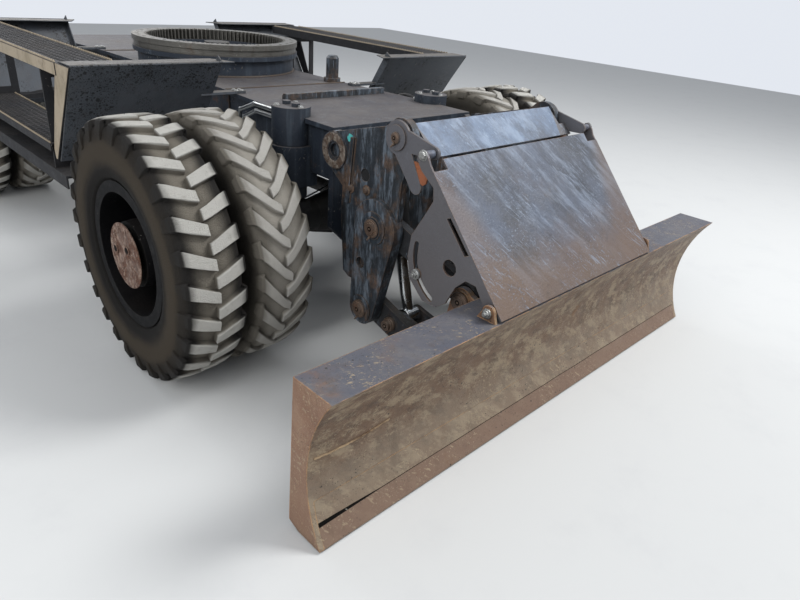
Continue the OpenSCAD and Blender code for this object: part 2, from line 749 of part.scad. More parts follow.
module end_plate() difference() {
    polygon([
        [-1289, blade_top_z], [-1289 + 166, blade_top_z], [-1103, 60], [-1103, 25], [-1150, blade_lift],
        [-1264, blade_lift], [-1290, 140]
    ]);
    translate([face_y, face_z]) circle(r = face_r, $fn = 128);
}

module blade_moldboard() color("#7a624a") place() {
    half = blade_w / 2;
    across(-half, blade_w) face_band(edge_h + blade_lift, blade_top_z, blade_plate);
    across(-half, blade_w) polygon([
        [-1289, blade_top_z], [-1123, blade_top_z], [-1123, blade_top_z - 14], [-1280, blade_top_z - 14]
    ]);
    across(-half + 10, blade_w - 20) polygon([[-1180, 190], [-1110, 190], [-1110, 60], [-1168, 60], [-1168, 157]]);
    both_sides() {
        across(half - 20, 20) end_plate();
        for (x = [150, 720, 990]) across(x, rib_t) back_rib();
        for (x = [arm_in - 30, bracket_in]) across(x, 25) blade_lug();
        for (pin = [[blade_low_pin, 30], [blade_high_pin, 28]]) {
            bar_x(arm_in - 40, bracket_in - arm_in + 80, pin[0], pin[1]);
            bar_x(bracket_in + 24, 8, pin[0], pin[1] + 14);
        }
        across(foot_in, 10) foot_lug();
        bar_x(cheek_in - 5, foot_in - cheek_in + 12, guard_foot, 9);
        bar_x(foot_in + 9, 10, guard_foot, 15);
    }
}

// Rib between the curved plate, the top plate and the box along the blade's foot
module back_rib() polygon([
    [-1178, 180], [-1174, face_z], [-1182, 350], [-1215, 460], [-1266, blade_top_z - 12],
    [-1132, blade_top_z - 12], [-1150, 400], [-1118, 188], [-1118, 180]
]);

module blade_lug() {
    disc(blade_low_pin, 58);
    disc(blade_high_pin, 50);
    polygon([blade_low_pin + [0, -58], [-1168, 70], [-1168, 157], [-1180, 190], [-1176, 300], [-1200, 500],
             [-1130, blade_top_z - 14], blade_high_pin + [0, 50], blade_high_pin + [50, 0],
             blade_low_pin + [58, 0]]);
}

module foot_lug() {
    disc(guard_foot, 26);
    polygon([
        guard_foot + [-26, 0], guard_foot + [26, 0], [guard_foot[0] + 44, blade_top_z - 1],
        [guard_foot[0] - 36, blade_top_z - 1]
    ]);
}

module cutting_edge() color("#6a4a34") place() across(-blade_w / 2 + 20.3, blade_w - 40.6) difference() {
    translate([face_y, blade_lift]) square([600, edge_h - 0.3]);
    translate([face_y, face_z]) circle(r = face_r, $fn = 128);
    difference() {
        translate([face_y - 10, blade_lift - 10]) square([700, edge_h + 20]);
        translate([face_y, face_z]) circle(r = face_r + 25, $fn = 128);
    }
}

// Blade cylinders

cyl_d = cylinder_eye - cylinder_top;
cyl_l = norm(cyl_d);
cyl_turn = atan2(cyl_d[1], cyl_d[0]);
barrel_l = 350;

// Puts the children on the cylinder's axis, +X of the drawing along the rod
module on_cylinder() both_sides() translate([cylinder_x, cylinder_top[0], cylinder_top[1]])
    rotate([cyl_turn, 0, 0]) rotate([0, 0, 90]) children();

module blade_barrels() color("#33363a") place() on_cylinder() {
    gland = 34;
    difference() {
        union() {
            rotate([0, 90, 0]) cylinder(h = barrel_l, r = 50);
            translate([barrel_l - gland, 0, 0]) rotate([0, 90, 0]) cylinder(h = gland, r = 56);
            for (x = [78, barrel_l - 70]) translate([x, 0, -72]) cylinder(h = 40, r = 15);
        }
        translate([75, 0, 0]) rotate([0, 90, 0]) cylinder(h = barrel_l, r = 25 + fit);
    }
    translate([0, 55, 0]) rotate([90, 0, 0]) cylinder(h = 110, r = 45);
    translate([0, 85, 0]) rotate([90, 0, 0]) cylinder(h = 85 - cylinder_x + bracket_out - 5, r = 25);
}

module blade_rods() color("#b0b2b4") place() on_cylinder() {
    translate([200, 0, 0]) rotate([0, 90, 0]) cylinder(h = cyl_l - 232, r = 25);
    difference() {
        translate([cyl_l, 35, 0]) rotate([90, 0, 0]) cylinder(h = 70, r = 42);
        translate([cyl_l, 36, 0]) rotate([90, 0, 0]) cylinder(h = 72, r = 26);
    }
}

// Guards

module guard_upper() color("#66727c") place() {
    g0 = [-720, 1108];
    g1 = [-830, 1008];
    d = (g1 - g0) / norm(g1 - g0);
    n = [d[1], -d[0]] * 8;
    mid = g0 + (g1 - g0) * 0.62;
    across(-arm_out + 2, 2 * arm_out - 4) polygon([g0, g1, g1 - n, g0 - n]);
    across(-hanger_in - 1, 2 * hanger_in + 2) polygon([mid, g1, g1 - n, mid - n]);
    both_sides() across(hanger_in, hanger_out - hanger_in) hanger();
    both_sides() {
        bar_x(bracket_in, hanger_in - bracket_in + 1, guard_boss, 22);
        bar_x(hanger_out - 1, 9, guard_boss, 46);
        bar_x(hanger_out + 7, 6, guard_boss, 22);
    }
}

module hanger() {
    disc(guard_boss, 62);
    strut(guard_boss, [-798, 900], 45, 28);
    strut(guard_boss, guard_knee, 45, 22);
}

module cheek() difference() {
    polygon([
        [-908, 1013], [-897, 1036], [-880, 1055], [-862, 1055], [-850, 1043], [-846, 1020],
        [-872, 985], [-933, 942], [-939, 896], [-906, 836], [-852, 745], [-841, 659], [-863, 574],
        [-934, 512], [-1004, 514], [-1044, 545], [-1081, 624], [-1122, 665], [-1168, 663],
        [-1218, 594], [-1248, 584], [-1284, 592]
    ]);
    disc(cheek_hole, 30);
    arc_slot(cheek_hole, 166, 22, 12, -30 + 8);
    arc_slot(cheek_hole, 166, 22, -33, -64);
    polygon([[-1008, 854], [-1024, 862], [-1121, 758], [-1103, 750]]);
    disc(guard_foot, 9 + fit);
}

cheek_hole = [-1045, 685];
stop_bolt = cheek_hole + 166 * [cos(-27.5), sin(-27.5)];

// Slot of width w along a circle of radius r, from angle a0 down to a1
module arc_slot(c, r, w, a0, a1) {
    intersection() {
        difference() {
            disc(c, r + w / 2);
            disc(c, r - w / 2);
        }
        polygon([c, c + 2 * r * [cos(a0), sin(a0)], c + 2 * r * [cos(a1), sin(a1)]]);
    }
    for (a = [a0, a1]) disc(c + r * [cos(a), sin(a)], w / 2);
}

module guard_lower() color("#5f6468") place() {
    g0 = [-899, 1025];
    g1 = [-front_reach, 583];
    d = (g1 - g0) / norm(g1 - g0);
    n = [d[1], -d[0]] * 8;
    side = g0 + d * 40;
    across(-hanger_in + 10, 2 * hanger_in - 20) polygon([g0, g1, g1 - n, g0 - n]);
    across(-cheek_out, 2 * cheek_out) polygon([side, g1, g1 - n, side - n]);
    both_sides() {
        across(cheek_in, cheek_out - cheek_in) cheek();
        bar_x(hanger_out + 5, cheek_in - hanger_out - 4, guard_knee, 14);
        bar_x(cheek_out - 1, 5, stop_bolt, 20);
        bar_x(cheek_out + 3, 9, stop_bolt, 12);
    }
}

chassis_frame();
frame_front();
frame_rear();
slew_pedestal();
slew_ring();
centre_joint();
blade_bracket();
front_axle();
rear_axle();
travel_gearbox();
axle_locks();
steering_cylinder();
hydraulic_pipes();
deck_fittings();
front_fenders();
rear_fenders();
steps_left();
steps_right();
tow_hitch();
drive_shaft();
steering_rod();
tie_rod_left();
tie_rod_right();
knuckle_left();
knuckle_right();
tyre_fl_outer();
tyre_fl_inner();
wheel_fl();
tyre_fr_outer();
tyre_fr_inner();
wheel_fr();
tyre_rl_outer();
tyre_rl_inner();
wheel_rl();
tyre_rr_outer();
tyre_rr_inner();
wheel_rr();
lower_arm();
upper_links();
blade_moldboard();
cutting_edge();
blade_barrels();
blade_rods();
guard_upper();
guard_lower();
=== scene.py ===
"""Looks of a wheeled excavator's undercarriage with its dozer blade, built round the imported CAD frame."""

import json
import logging
import math
from collections.abc import Sequence
from dataclasses import dataclass, field, replace
from enum import Enum

import bmesh
import bpy
from mathutils import Matrix, Vector, noise


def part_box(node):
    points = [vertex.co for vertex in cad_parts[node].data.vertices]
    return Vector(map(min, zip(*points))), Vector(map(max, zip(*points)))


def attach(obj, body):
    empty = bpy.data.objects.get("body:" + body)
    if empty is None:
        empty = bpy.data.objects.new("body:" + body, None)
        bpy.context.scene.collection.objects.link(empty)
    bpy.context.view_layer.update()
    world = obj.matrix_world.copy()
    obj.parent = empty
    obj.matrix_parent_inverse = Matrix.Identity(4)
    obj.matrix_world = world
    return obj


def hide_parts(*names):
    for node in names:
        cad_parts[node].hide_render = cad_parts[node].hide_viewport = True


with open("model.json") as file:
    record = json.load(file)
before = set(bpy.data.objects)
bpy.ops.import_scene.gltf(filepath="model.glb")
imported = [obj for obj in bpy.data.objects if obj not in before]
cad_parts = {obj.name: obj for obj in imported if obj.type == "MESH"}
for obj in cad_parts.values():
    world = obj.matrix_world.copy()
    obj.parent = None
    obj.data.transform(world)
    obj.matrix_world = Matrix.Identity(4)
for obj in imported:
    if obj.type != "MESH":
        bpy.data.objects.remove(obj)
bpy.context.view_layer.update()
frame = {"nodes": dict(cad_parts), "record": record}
LOG = logging.getLogger("undercarriage")
Point = tuple[float, float]
Triple = tuple[float, float, float]
Socket = bpy.types.NodeSocket
Outputs = bpy.types.NodeOutputs
Material = bpy.types.Material
Ring = list[bmesh.types.BMVert]
FLOAT, VECTOR = "NodeSocketFloat", "NodeSocketVector"
X_AXIS, Y_AXIS, Z_AXIS = Vector((1, 0, 0)), Vector((0, 1, 0)), Vector((0, 0, 1))
SIDES = (-1, 1)
CORNERS = ("fl", "fr", "rl", "rr")
WHEELBASE = 2.8
BEVEL_FROM, SHARP_FROM = math.radians(35), math.radians(38)


def node_centre(node: str) -> Vector:
    """Middle of a CAD node's box."""
    low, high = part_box(node)
    return (low + high) / 2


AXLE_Y = node_centre("tyre_fl_outer").y


def at(x: float, y: float, z: float) -> Vector:
    """Point given from the front axle, in the frame's own coordinates."""
    return Vector((x, y + AXLE_Y, z))


def turns(count: int, shift: float = 0.0) -> list[float]:
    """Angles of even steps round a circle, moved on by a share of a step."""
    return [math.tau * (i + shift) / count for i in range(count)]


def hoop(middle: Vector, radii: Sequence[float], side: Vector = Y_AXIS, up: Vector = Z_AXIS) -> list[Vector]:
    """Points evenly round a middle, one for each radius, from the side way on towards the up way."""
    return [middle + (side * math.cos(t) + up * math.sin(t)) * r for t, r in zip(turns(len(radii)), radii)]


def smooth(points: Sequence[Vector], steps: int = 8) -> list[Vector]:
    """Smooth curve through points.

    Args:
        points: places that the curve passes.
        steps: pieces between two of them.

    Returns:
        Points along the curve.
    """
    line: list[Vector] = []
    for i in range(len(points) - 1):
        before, a, b = points[max(i - 1, 0)], points[i], points[i + 1]
        after = points[min(i + 2, len(points) - 1)]
        for k in range(steps):
            t = k / steps
            bend = before * 2 - a * 5 + b * 4 - after
            twist = a * 3 - before - b * 3 + after
            line.append((a * 2 + (b - before) * t + bend * t * t + twist * t**3) / 2)
    return [*line, points[-1]]


def colour(code: str) -> tuple[float, float, float, float]:
    """Linear colour of a hexadecimal screen colour.

    Args:
        code: six hexadecimal digits, red first.

    Returns:
        Red, green, blue and an alpha of 1.
    """
    parts = [int(code[i : i + 2], 16) / 255 for i in (0, 2, 4)]
    linear = [c / 12.92 if c <= 0.04045 else ((c + 0.055) / 1.055) ** 2.4 for c in parts]
    return (linear[0], linear[1], linear[2], 1.0)


def place_object(name: str, data: bpy.types.ID) -> bpy.types.Object:
    """New object of some data, in the scene."""
    made = bpy.data.objects.new(name, data)
    bpy.context.scene.collection.objects.link(made)
    return made


class Graph:
    """Adds nodes to one shader tree and wires them."""

    def __init__(self, tree: bpy.types.NodeTree) -> None:
        """Starts on an empty tree."""
        self.tree = tree
        tree.nodes.clear()

    def add(self, kind: str, **settings: object) -> bpy.types.Node:
        """Adds a node and sets its properties.

        Args:
            kind: Blender's node type.
            settings: properties of the node.

        Returns:
            The new node.
        """
        made = self.tree.nodes.new(kind)
        for name, value in settings.items():
            setattr(made, name, value)
        return made

    def feed(self, socket: Socket, value: object) -> None:
        """Wires a socket to another one, or sets its value."""
        if isinstance(value, bpy.types.NodeSocket):
            self.tree.links.new(value, socket)
        else:
            socket.default_value = value

    def put(self, kind: str, *values: object, **settings: object) -> Outputs:
        """Outputs of a new node whose first inputs take the values."""
        made = self.add(kind, **settings)
        for socket, value in zip(made.inputs, values):
            self.feed(socket, value)
        return made.outputs

    def math(self, operation: str, a: object, b: object = 0.0, clamp: bool = False) -> Socket:
        """Result of one arithmetic node."""
        return self.put("ShaderNodeMath", a, b, operation=operation, use_clamp=clamp)[0]

    def times(self, a: object, b: object, clamp: bool = False) -> Socket:
        """Product of two values."""
        return self.math("MULTIPLY", a, b, clamp)

    def plus(self, a: object, b: object) -> Socket:
        """Sum of two values."""
        return self.math("ADD", a, b)

    def minus(self, a: object, b: object, clamp: bool = False) -> Socket:
        """Difference of two values."""
        return self.math("SUBTRACT", a, b, clamp)

    def mix(self, factor: object, a: object, b: object) -> Socket:
        """Colour a under colour b by a factor."""
        made = self.add("ShaderNodeMix", data_type="RGBA")
        for index, value in ((0, factor), (6, a), (7, b)):
            self.feed(made.inputs[index], value)
        return made.outputs[2]

    def coordinates(self, kind: str = "Object") -> Socket:
        """The surface's own coordinates of one kind."""
        return self.add("ShaderNodeTexCoord").outputs[kind]

    def place(self, scale: Triple = (1, 1, 1), turn: object = (0, 0, 0), start: object = None) -> Socket:
        """Coordinates scaled and turned, the object's own unless others are given."""
        made = self.add("ShaderNodeMapping")
        self.feed(made.inputs["Vector"], self.coordinates() if start is None else start)
        self.feed(made.inputs["Rotation"], turn)
        self.feed(made.inputs["Scale"], scale)
        return made.outputs[0]

    def noise(self, vector: Socket, scale: object, detail: float = 5, rough: float = 0.6) -> Socket:
        """Cloudy noise from 0 to 1."""
        made = self.add("ShaderNodeTexNoise")
        for label, value in (("Vector", vector), ("Scale", scale), ("Detail", detail), ("Roughness", rough)):
            self.feed(made.inputs[label], value)
        return made.outputs["Fac"]

    def step(self, value: object, low: object, high: object) -> Socket:
        """Soft step from 0 below low to 1 above high."""
        return self.put("ShaderNodeMapRange", value, low, high, interpolation_type="SMOOTHSTEP")["Result"]

    def bump(self, height: Socket, distance: float, normal: object = None) -> Socket:
        """Normal of a surface raised by a height."""
        made = self.add("ShaderNodeBump")
        made.inputs["Distance"].default_value = distance
        self.feed(made.inputs["Height"], height)
        if normal is not None:
            self.feed(made.inputs["Normal"], normal)
        return made.outputs["Normal"]


class Effect(Graph):
    """A shader node group with named inputs and outputs, built once and placed in many materials."""

    def __init__(self, name: str, extra: dict[str, str] | None = None, **inputs: float) -> None:
        """Makes the group's sockets.

        Args:
            name: name of the node group.
            extra: name and socket type of the outputs beside the mask.
            inputs: name and starting value of each input.
        """
        super().__init__(bpy.data.node_groups.new(name, "ShaderNodeTree"))
        for label, value in inputs.items():
            made = self.tree.interface.new_socket(label, in_out="INPUT", socket_type=FLOAT)
            made.default_value = value
        for label, kind in {"Mask": FLOAT, **(extra or {})}.items():
            self.tree.interface.new_socket(label, in_out="OUTPUT", socket_type=kind)
        self.given = self.add("NodeGroupInput").outputs
        self.result = self.add("NodeGroupOutput").inputs

    def give(self, value: Socket, label: str = "Mask") -> "Effect":
        """Feeds one of the group's outputs and returns the group."""
        self.feed(self.result[label], value)
        return self

    def lay(self, graph: Graph, **values: object) -> Outputs:
        """Places the group in a material.

        Args:
            graph: the material's tree.
            values: inputs by name.

        Returns:
            The placed group's outputs.
        """
        made = graph.add("ShaderNodeGroup", node_tree=self.tree)
        for label, value in values.items():
            graph.feed(made.inputs[label], value)
        return made.outputs


class Effects:
    """The effects that the finishes share."""

    def __init__(self) -> None:
        """Builds every group."""
        self.edges = self._edges()
        self.patches = self._patches()
        self.dust = self._dust()
        self.scratches = self._scratches()
        self.runs = self._runs()
        self.spots = self._spots()
        self.crevice_shade_and_dirt = self._crevice_shade_and_dirt()
        self.scuffs = self._scuffs()

    @staticmethod
    def _edges() -> Effect:
        """Rounded edges, and the mask of those that wear."""
        e = Effect("worn_edges", {"Normal": VECTOR}, Radius=0.003, Amount=1.0)
        rounded = e.put("ShaderNodeBevel", e.given["Radius"], samples=4)[0]
        plain = e.put("ShaderNodeNewGeometry")["Normal"]
        alike = e.put("ShaderNodeVectorMath", rounded, plain, operation="DOT_PRODUCT")["Value"]
        turned = e.step(e.minus(1.0, alike), 0.004, 0.1)
        broken = e.step(e.noise(e.place(), 22.0, 6), 0.32, 0.62)
        e.give(rounded, "Normal")
        return e.give(e.times(e.times(turned, broken), e.given["Amount"], clamp=True))

    @staticmethod
    def _patches() -> Effect:
        """Irregular patches that cover a share of the surface, and their own tone."""
        e = Effect("patches", {"Tone": FLOAT}, Scale=4.0, Coverage=0.3, Softness=0.05, Shift=0.0)
        moved = e.put("ShaderNodeVectorMath", e.place(), e.given["Shift"], operation="ADD")[0]
        cloud = e.noise(moved, e.given["Scale"], 9, 0.68)
        edge = e.minus(0.68, e.times(e.given["Coverage"], 0.42))
        fine = e.noise(moved, e.times(e.given["Scale"], 6.5), 6, 0.7)
        e.give(e.step(fine, 0.3, 0.7), "Tone")
        return e.give(e.step(cloud, edge, e.plus(edge, e.given["Softness"])))

    @staticmethod
    def _dust() -> Effect:
        """Dust that lies on what faces up, thinner where the noise says so."""
        e = Effect("dust", Amount=0.5, Scale=5.0, Everywhere=0.1)
        up = e.step(e.put("ShaderNodeSeparateXYZ", e.coordinates("Normal"))["Z"], 0.25, 0.95)
        spread = e.math("MAXIMUM", up, e.given["Everywhere"])
        cloud = e.step(e.noise(e.place(), e.given["Scale"], 8, 0.65), 0.3, 0.72)
        return e.give(e.times(e.times(spread, cloud), e.given["Amount"], clamp=True))

    @staticmethod
    def _scratches() -> Effect:
        """Long thin scratches in two slanted directions, broken up by patches."""
        e = Effect("scratches", Density=0.5, Scale=20.0, Tilt=0.5)
        total: object = 0.0
        for tilt, across in ((1.0, 4.5), (-0.7, 6.5)):
            leaning = e.times(e.given["Tilt"], tilt)
            turned = e.place(turn=e.put("ShaderNodeCombineXYZ", leaning, leaning)[0])
            lines = e.noise(e.place((across, across, 0.35), start=turned), e.given["Scale"], 3, 0.55)
            edge = e.minus(0.72, e.times(e.given["Density"], 0.16))
            total = e.math("MAXIMUM", total, e.step(lines, edge, e.plus(edge, 0.05)))
        broken = e.step(e.noise(e.place(), 7.0, 4), 0.42, 0.62)
        return e.give(e.times(total, broken))

    @staticmethod
    def _runs() -> Effect:
        """Streaks that run down the surface."""
        e = Effect("runs", Amount=0.5, Width=30.0)
        lines = e.noise(e.place((1, 1, 0.07)), e.given["Width"], 4, 0.6)
        broken = e.step(e.noise(e.place(), 5.0, 3), 0.35, 0.6)
        shown = e.times(e.step(lines, 0.5, 0.68), broken)
        return e.give(e.times(shown, e.given["Amount"], clamp=True))

    @staticmethod
    def _spots() -> Effect:
        """Small round spots of uneven size."""
        e = Effect("spots", Scale=60.0, Amount=0.3)
        cells = e.add("ShaderNodeTexVoronoi")
        e.feed(cells.inputs["Vector"], e.place())
        e.feed(cells.inputs["Scale"], e.given["Scale"])
        rare = e.minus(e.put("ShaderNodeSeparateColor", cells.outputs["Color"])[0], 0.55)
        size = e.times(rare, e.times(e.given["Amount"], 2.2))
        inside = e.minus(size, cells.outputs["Distance"])
        cluster = e.step(e.noise(e.place(), 4.5, 3), 0.42, 0.58)
        return e.give(e.times(e.step(inside, 0.0, 0.06), cluster))

    @staticmethod
    def _scuffs() -> Effect:
        """Broad rubbed marks drawn out along one direction, with ragged ends."""
        e = Effect("scuffs", Scale=3.0, Tilt=0.5, Coverage=0.4, Shift=0.0)
        turned = e.place(turn=e.put("ShaderNodeCombineXYZ", e.given["Tilt"], e.given["Tilt"])[0])
        moved = e.put("ShaderNodeVectorMath", turned, e.given["Shift"], operation="ADD")[0]
        cloud = e.noise(e.place((2.4, 2.4, 0.5), start=moved), e.given["Scale"], 10, 0.74)
        edge = e.minus(0.66, e.times(e.given["Coverage"], 0.3))
        return e.give(e.step(cloud, edge, e.plus(edge, 0.14)))

    @staticmethod
    def _crevice_shade_and_dirt() -> Effect:
        """Painted shade and dirt in corners, darker where ambient occlusion finds them closed in."""
        e = Effect("crevice_shade_and_dirt", Reach=0.05, Amount=0.7)
        open_sky = e.add("ShaderNodeAmbientOcclusion", samples=6)
        e.feed(open_sky.inputs["Distance"], e.given["Reach"])
        shown = e.step(e.minus(1.0, open_sky.outputs["AO"]), 0.12, 0.75)
        return e.give(e.times(shown, e.given["Amount"], clamp=True))


EFFECTS = Effects()


class Coat:
    """Colour of a surface, laid on layer by layer."""

    def __init__(self, graph: Graph, tone: str) -> None:
        """Starts with one tone all over."""
        self.graph = graph
        self.shown: object = colour(tone)

    def lay(self, mask: Socket, tone: object, share: float = 1.0) -> None:
        """Lays a colour's code or socket over what is there, by a mask and a share of it."""
        factor = mask if share == 1.0 else self.graph.times(mask, share)
        self.shown = self.graph.mix(factor, self.shown, colour(tone) if isinstance(tone, str) else tone)


@dataclass(frozen=True)
class Wear:
    """How much of each kind of wear, and of painted shade and dirt in corners, a metal surface shows, from 0
    to 1, and its marks' scale and tilt.
    """

    rust: float = 0.3
    rust_scale: float = 4.0
    second: float = 0.3
    dust: float = 0.4
    dust_everywhere: float = 0.12
    rust_soft: float = 0.1
    scratches: float = 0.3
    scratch_share: float = 0.75
    scuffs: float = 0.0
    scuff_share: float = 0.42
    scuff_scale: float = 3.0
    tilt: float = 0.6
    runs: float = 0.3
    spots: float = 0.0
    edges: float = 0.6
    # strength of the painted shade and dirt that darken corners
    crevice_shade_and_dirt: float = 0.5


class Where(Enum):
    """What a zone of colour goes by."""

    FACING = "the way the surface faces"
    HEIGHT = "place along the axis, with a ragged border"
    FLANK = "distance from the middle line, with a slanting border"


@dataclass(frozen=True)
class Zone:
    """A part of a surface with a colour of its own; in some finishes the zone is a painted reflection of the
    sky instead.
    """

    tone: str
    axis: str = "Z"
    start: float = 0.75
    end: float = 0.95
    by: Where = Where.FACING
    share: float = 1.0
    slope: float = 0.45
    ragged: float = 0.2

    def mask(self, g: Graph) -> Socket:
        """Mask of the zone in a material's tree, from 0 to the zone's share."""
        kind = "Normal" if self.by is Where.FACING else "Object"
        parts = g.put("ShaderNodeSeparateXYZ", g.coordinates(kind))
        value = parts[self.axis]
        if self.axis == "X":
            value = g.math("ABSOLUTE", value)
        if self.by is Where.FLANK:
            value = g.minus(value, g.times(parts["Z"], self.slope))
        elif self.by is Where.HEIGHT:
            cloud = g.minus(g.noise(g.place(), 6.0, 6, 0.7), 0.5)
            value = g.plus(value, g.times(cloud, self.ragged))
        return g.times(g.step(value, self.start, self.end), self.share)


@dataclass(frozen=True)
class WornMetal:
    """Paint or bare steel under rust, scratches, streaks and dust, with painted shade and dirt in its
    corners.
    """

    name: str
    base: str
    other: str
    rust: str = "6b4a34"
    rust_dark: str = "3c2a20"
    bare: str = "a9a49a"
    dirt: str = "8d867a"
    streak: str = "3c2a20"
    edge: str = "6b4a34"
    tar: str = "17181b"
    # colour of the painted shade and dirt in corners
    corner: str = "14130f"
    edge_radius: float = 0.003
    zones: tuple[Zone, ...] = ()
    # zone in the paint's own tone, clean of rust and scratches and free of any painted reflection in the
    # base colour
    clean_unreflected: Zone | None = None
    wear: Wear = field(default_factory=Wear)
    roughness: float = 0.6
    metallic: float = 0.0
    gloss: float = 0.4
    bump: float = 0.0015

    def make(self) -> Material:
        """Builds the material.

        Returns:
            The finished material.
        """
        made, g, shader = new_material(self.name)
        wear = self.wear
        coat = Coat(g, self.base)
        large = EFFECTS.patches.lay(g, Scale=2.3, Coverage=wear.second, Softness=0.16, Shift=3.1)
        coat.lay(large["Mask"], self.other)
        fine = EFFECTS.patches.lay(g, Scale=17.0, Coverage=0.55, Softness=0.25, Shift=1.7)
        coat.lay(fine["Mask"], self.other, 0.4)
        if wear.scuffs:
            drawn = {"Scale": wear.scuff_scale, "Tilt": wear.tilt, "Coverage": wear.scuffs}
            for shift, tone, more in ((9.0, self.streak, 0.08), (5.0, self.bare, 0.0)):
                marks = EFFECTS.scuffs.lay(g, Shift=shift, **drawn)
                coat.lay(marks["Mask"], tone, wear.scuff_share + more)
        for zone in self.zones:
            coat.lay(zone.mask(g), zone.tone)
        coat.lay(EFFECTS.runs.lay(g, Amount=wear.runs, Width=26.0)["Mask"], self.streak)
        rust = EFFECTS.patches.lay(g, Scale=wear.rust_scale, Coverage=wear.rust, Softness=wear.rust_soft)
        rust_mask = g.times(rust["Mask"], 0.9)
        lines = EFFECTS.scratches.lay(g, Density=wear.scratches, Scale=22.0, Tilt=wear.tilt)
        line_mask = g.times(lines["Mask"], wear.scratch_share)
        # this zone shows the paint's own tone, without rust, scratches and the painted sky reflection of the
        # base
        if self.clean_unreflected is not None:
            kept = g.minus(1.0, self.clean_unreflected.mask(g))
            rust_mask = g.times(rust_mask, kept)
            line_mask = g.times(line_mask, kept)
            coat.lay(g.minus(1.0, kept), self.clean_unreflected.tone)
        coat.lay(rust_mask, g.mix(rust["Tone"], colour(self.rust_dark), colour(self.rust)))
        coat.lay(line_mask, self.bare)
        edges = EFFECTS.edges.lay(g, Radius=self.edge_radius, Amount=wear.edges)
        coat.lay(edges["Mask"], self.edge)
        if wear.spots:
            for size, more in ((46.0, 0.8), (110.0, 1.0), (240.0, 1.2)):
                coat.lay(EFFECTS.spots.lay(g, Scale=size, Amount=wear.spots * more)["Mask"], self.tar, 0.9)
        dust = EFFECTS.dust.lay(g, Amount=wear.dust, Scale=4.0, Everywhere=wear.dust_everywhere)["Mask"]
        coat.lay(dust, self.dirt)
        # painted shade and dirt darken the corners, by ambient occlusion
        coat.lay(EFFECTS.crevice_shade_and_dirt.lay(g, Reach=0.06, Amount=wear.crevice_shade_and_dirt)["Mask"], self.corner)
        g.feed(shader.inputs["Base Color"], coat.shown)
        rough = g.plus(g.plus(self.roughness, g.times(rust_mask, 0.25)), g.times(dust, 0.2))
        g.feed(shader.inputs["Roughness"], g.minus(rough, g.times(fine["Mask"], 0.12), clamp=True))
        shader.inputs["Metallic"].default_value = self.metallic
        shader.inputs["Specular IOR Level"].default_value = self.gloss
        height = g.plus(g.times(rust["Tone"], rust_mask), g.times(fine["Tone"], 0.4))
        g.feed(shader.inputs["Normal"], g.bump(g.minus(height, line_mask), self.bump, edges["Normal"]))
        return made


@dataclass(frozen=True)
class TyreRubber:
    """Tyre rubber: dark side wall, dusty grooves and pale, dry lug tops, with painted shade and dirt in its
    corners.
    """

    name: str
    top: str
    groove: str
    side: str
    side_dust: str
    ring_dust: str
    groove_edge: str
    dusty: float
    pore: str = "4a453e"
    # colour of the painted shade and dirt in corners
    corner: str = "1c1815"
    tread_radius: float = 0.518
    ring: tuple[Point, Point] = ((0.325, 0.385), (0.475, 0.415))
    shoulder: Point = (0.425, 0.475)
    groove_half: Point = (0.035, 0.095)

    def make(self) -> Material:
        """Builds the material from the distance to the wheel's axle.

        Returns:
            The finished material.
        """
        made, g, shader = new_material(self.name)
        x, y, z = g.put("ShaderNodeSeparateXYZ", g.coordinates())
        radius = g.math("SQRT", g.plus(g.times(y, y), g.times(z, z)))
        cloud = g.noise(g.place(), 9.0, 7, 0.65)
        wander = g.times(g.minus(cloud, 0.5), 0.05)
        seen = g.plus(radius, wander)
        coat = Coat(g, self.side)
        patches = EFFECTS.patches.lay(g, Scale=6.0, Coverage=0.4, Softness=0.3, Shift=0.4)
        coat.lay(patches["Mask"], self.side_dust, 0.5)
        ring = g.times(g.step(seen, *self.ring[0]), g.step(seen, *self.ring[1]))
        coat.lay(ring, self.ring_dust, self.dusty)
        coat.lay(g.step(seen, *self.shoulder), self.side_dust, 0.8)
        across = g.plus(g.math("ABSOLUTE", x), wander)
        groove = g.mix(g.step(across, *self.groove_half), colour(self.groove), colour(self.groove_edge))
        coat.lay(g.step(seen, self.tread_radius - 0.05, self.tread_radius - 0.02), groove)
        worn = g.plus(radius, g.times(wander, 0.12))
        top = g.step(worn, self.tread_radius - 0.006, self.tread_radius + 0.004)
        grain = EFFECTS.patches.lay(g, Scale=34.0, Coverage=0.45, Softness=0.25, Shift=2.2)
        coat.lay(top, g.mix(g.times(grain["Mask"], 0.3), colour(self.top), colour(self.groove)))
        pores = EFFECTS.spots.lay(g, Scale=320.0, Amount=0.34)
        coat.lay(g.times(pores["Mask"], top), self.pore, 0.55)
        # painted shade and dirt darken the corners, by ambient occlusion
        coat.lay(EFFECTS.crevice_shade_and_dirt.lay(g, Reach=0.05, Amount=0.45)["Mask"], self.corner)
        g.feed(shader.inputs["Base Color"], coat.shown)
        shader.inputs["Roughness"].default_value = 0.85
        shader.inputs["Specular IOR Level"].default_value = 0.25
        pits = g.noise(g.place(), 150.0, 4, 0.7)
        height = g.plus(g.plus(grain["Tone"], g.times(cloud, 2.0)), g.times(pits, 1.2))
        g.feed(shader.inputs["Normal"], g.bump(height, 0.0032))
        return made


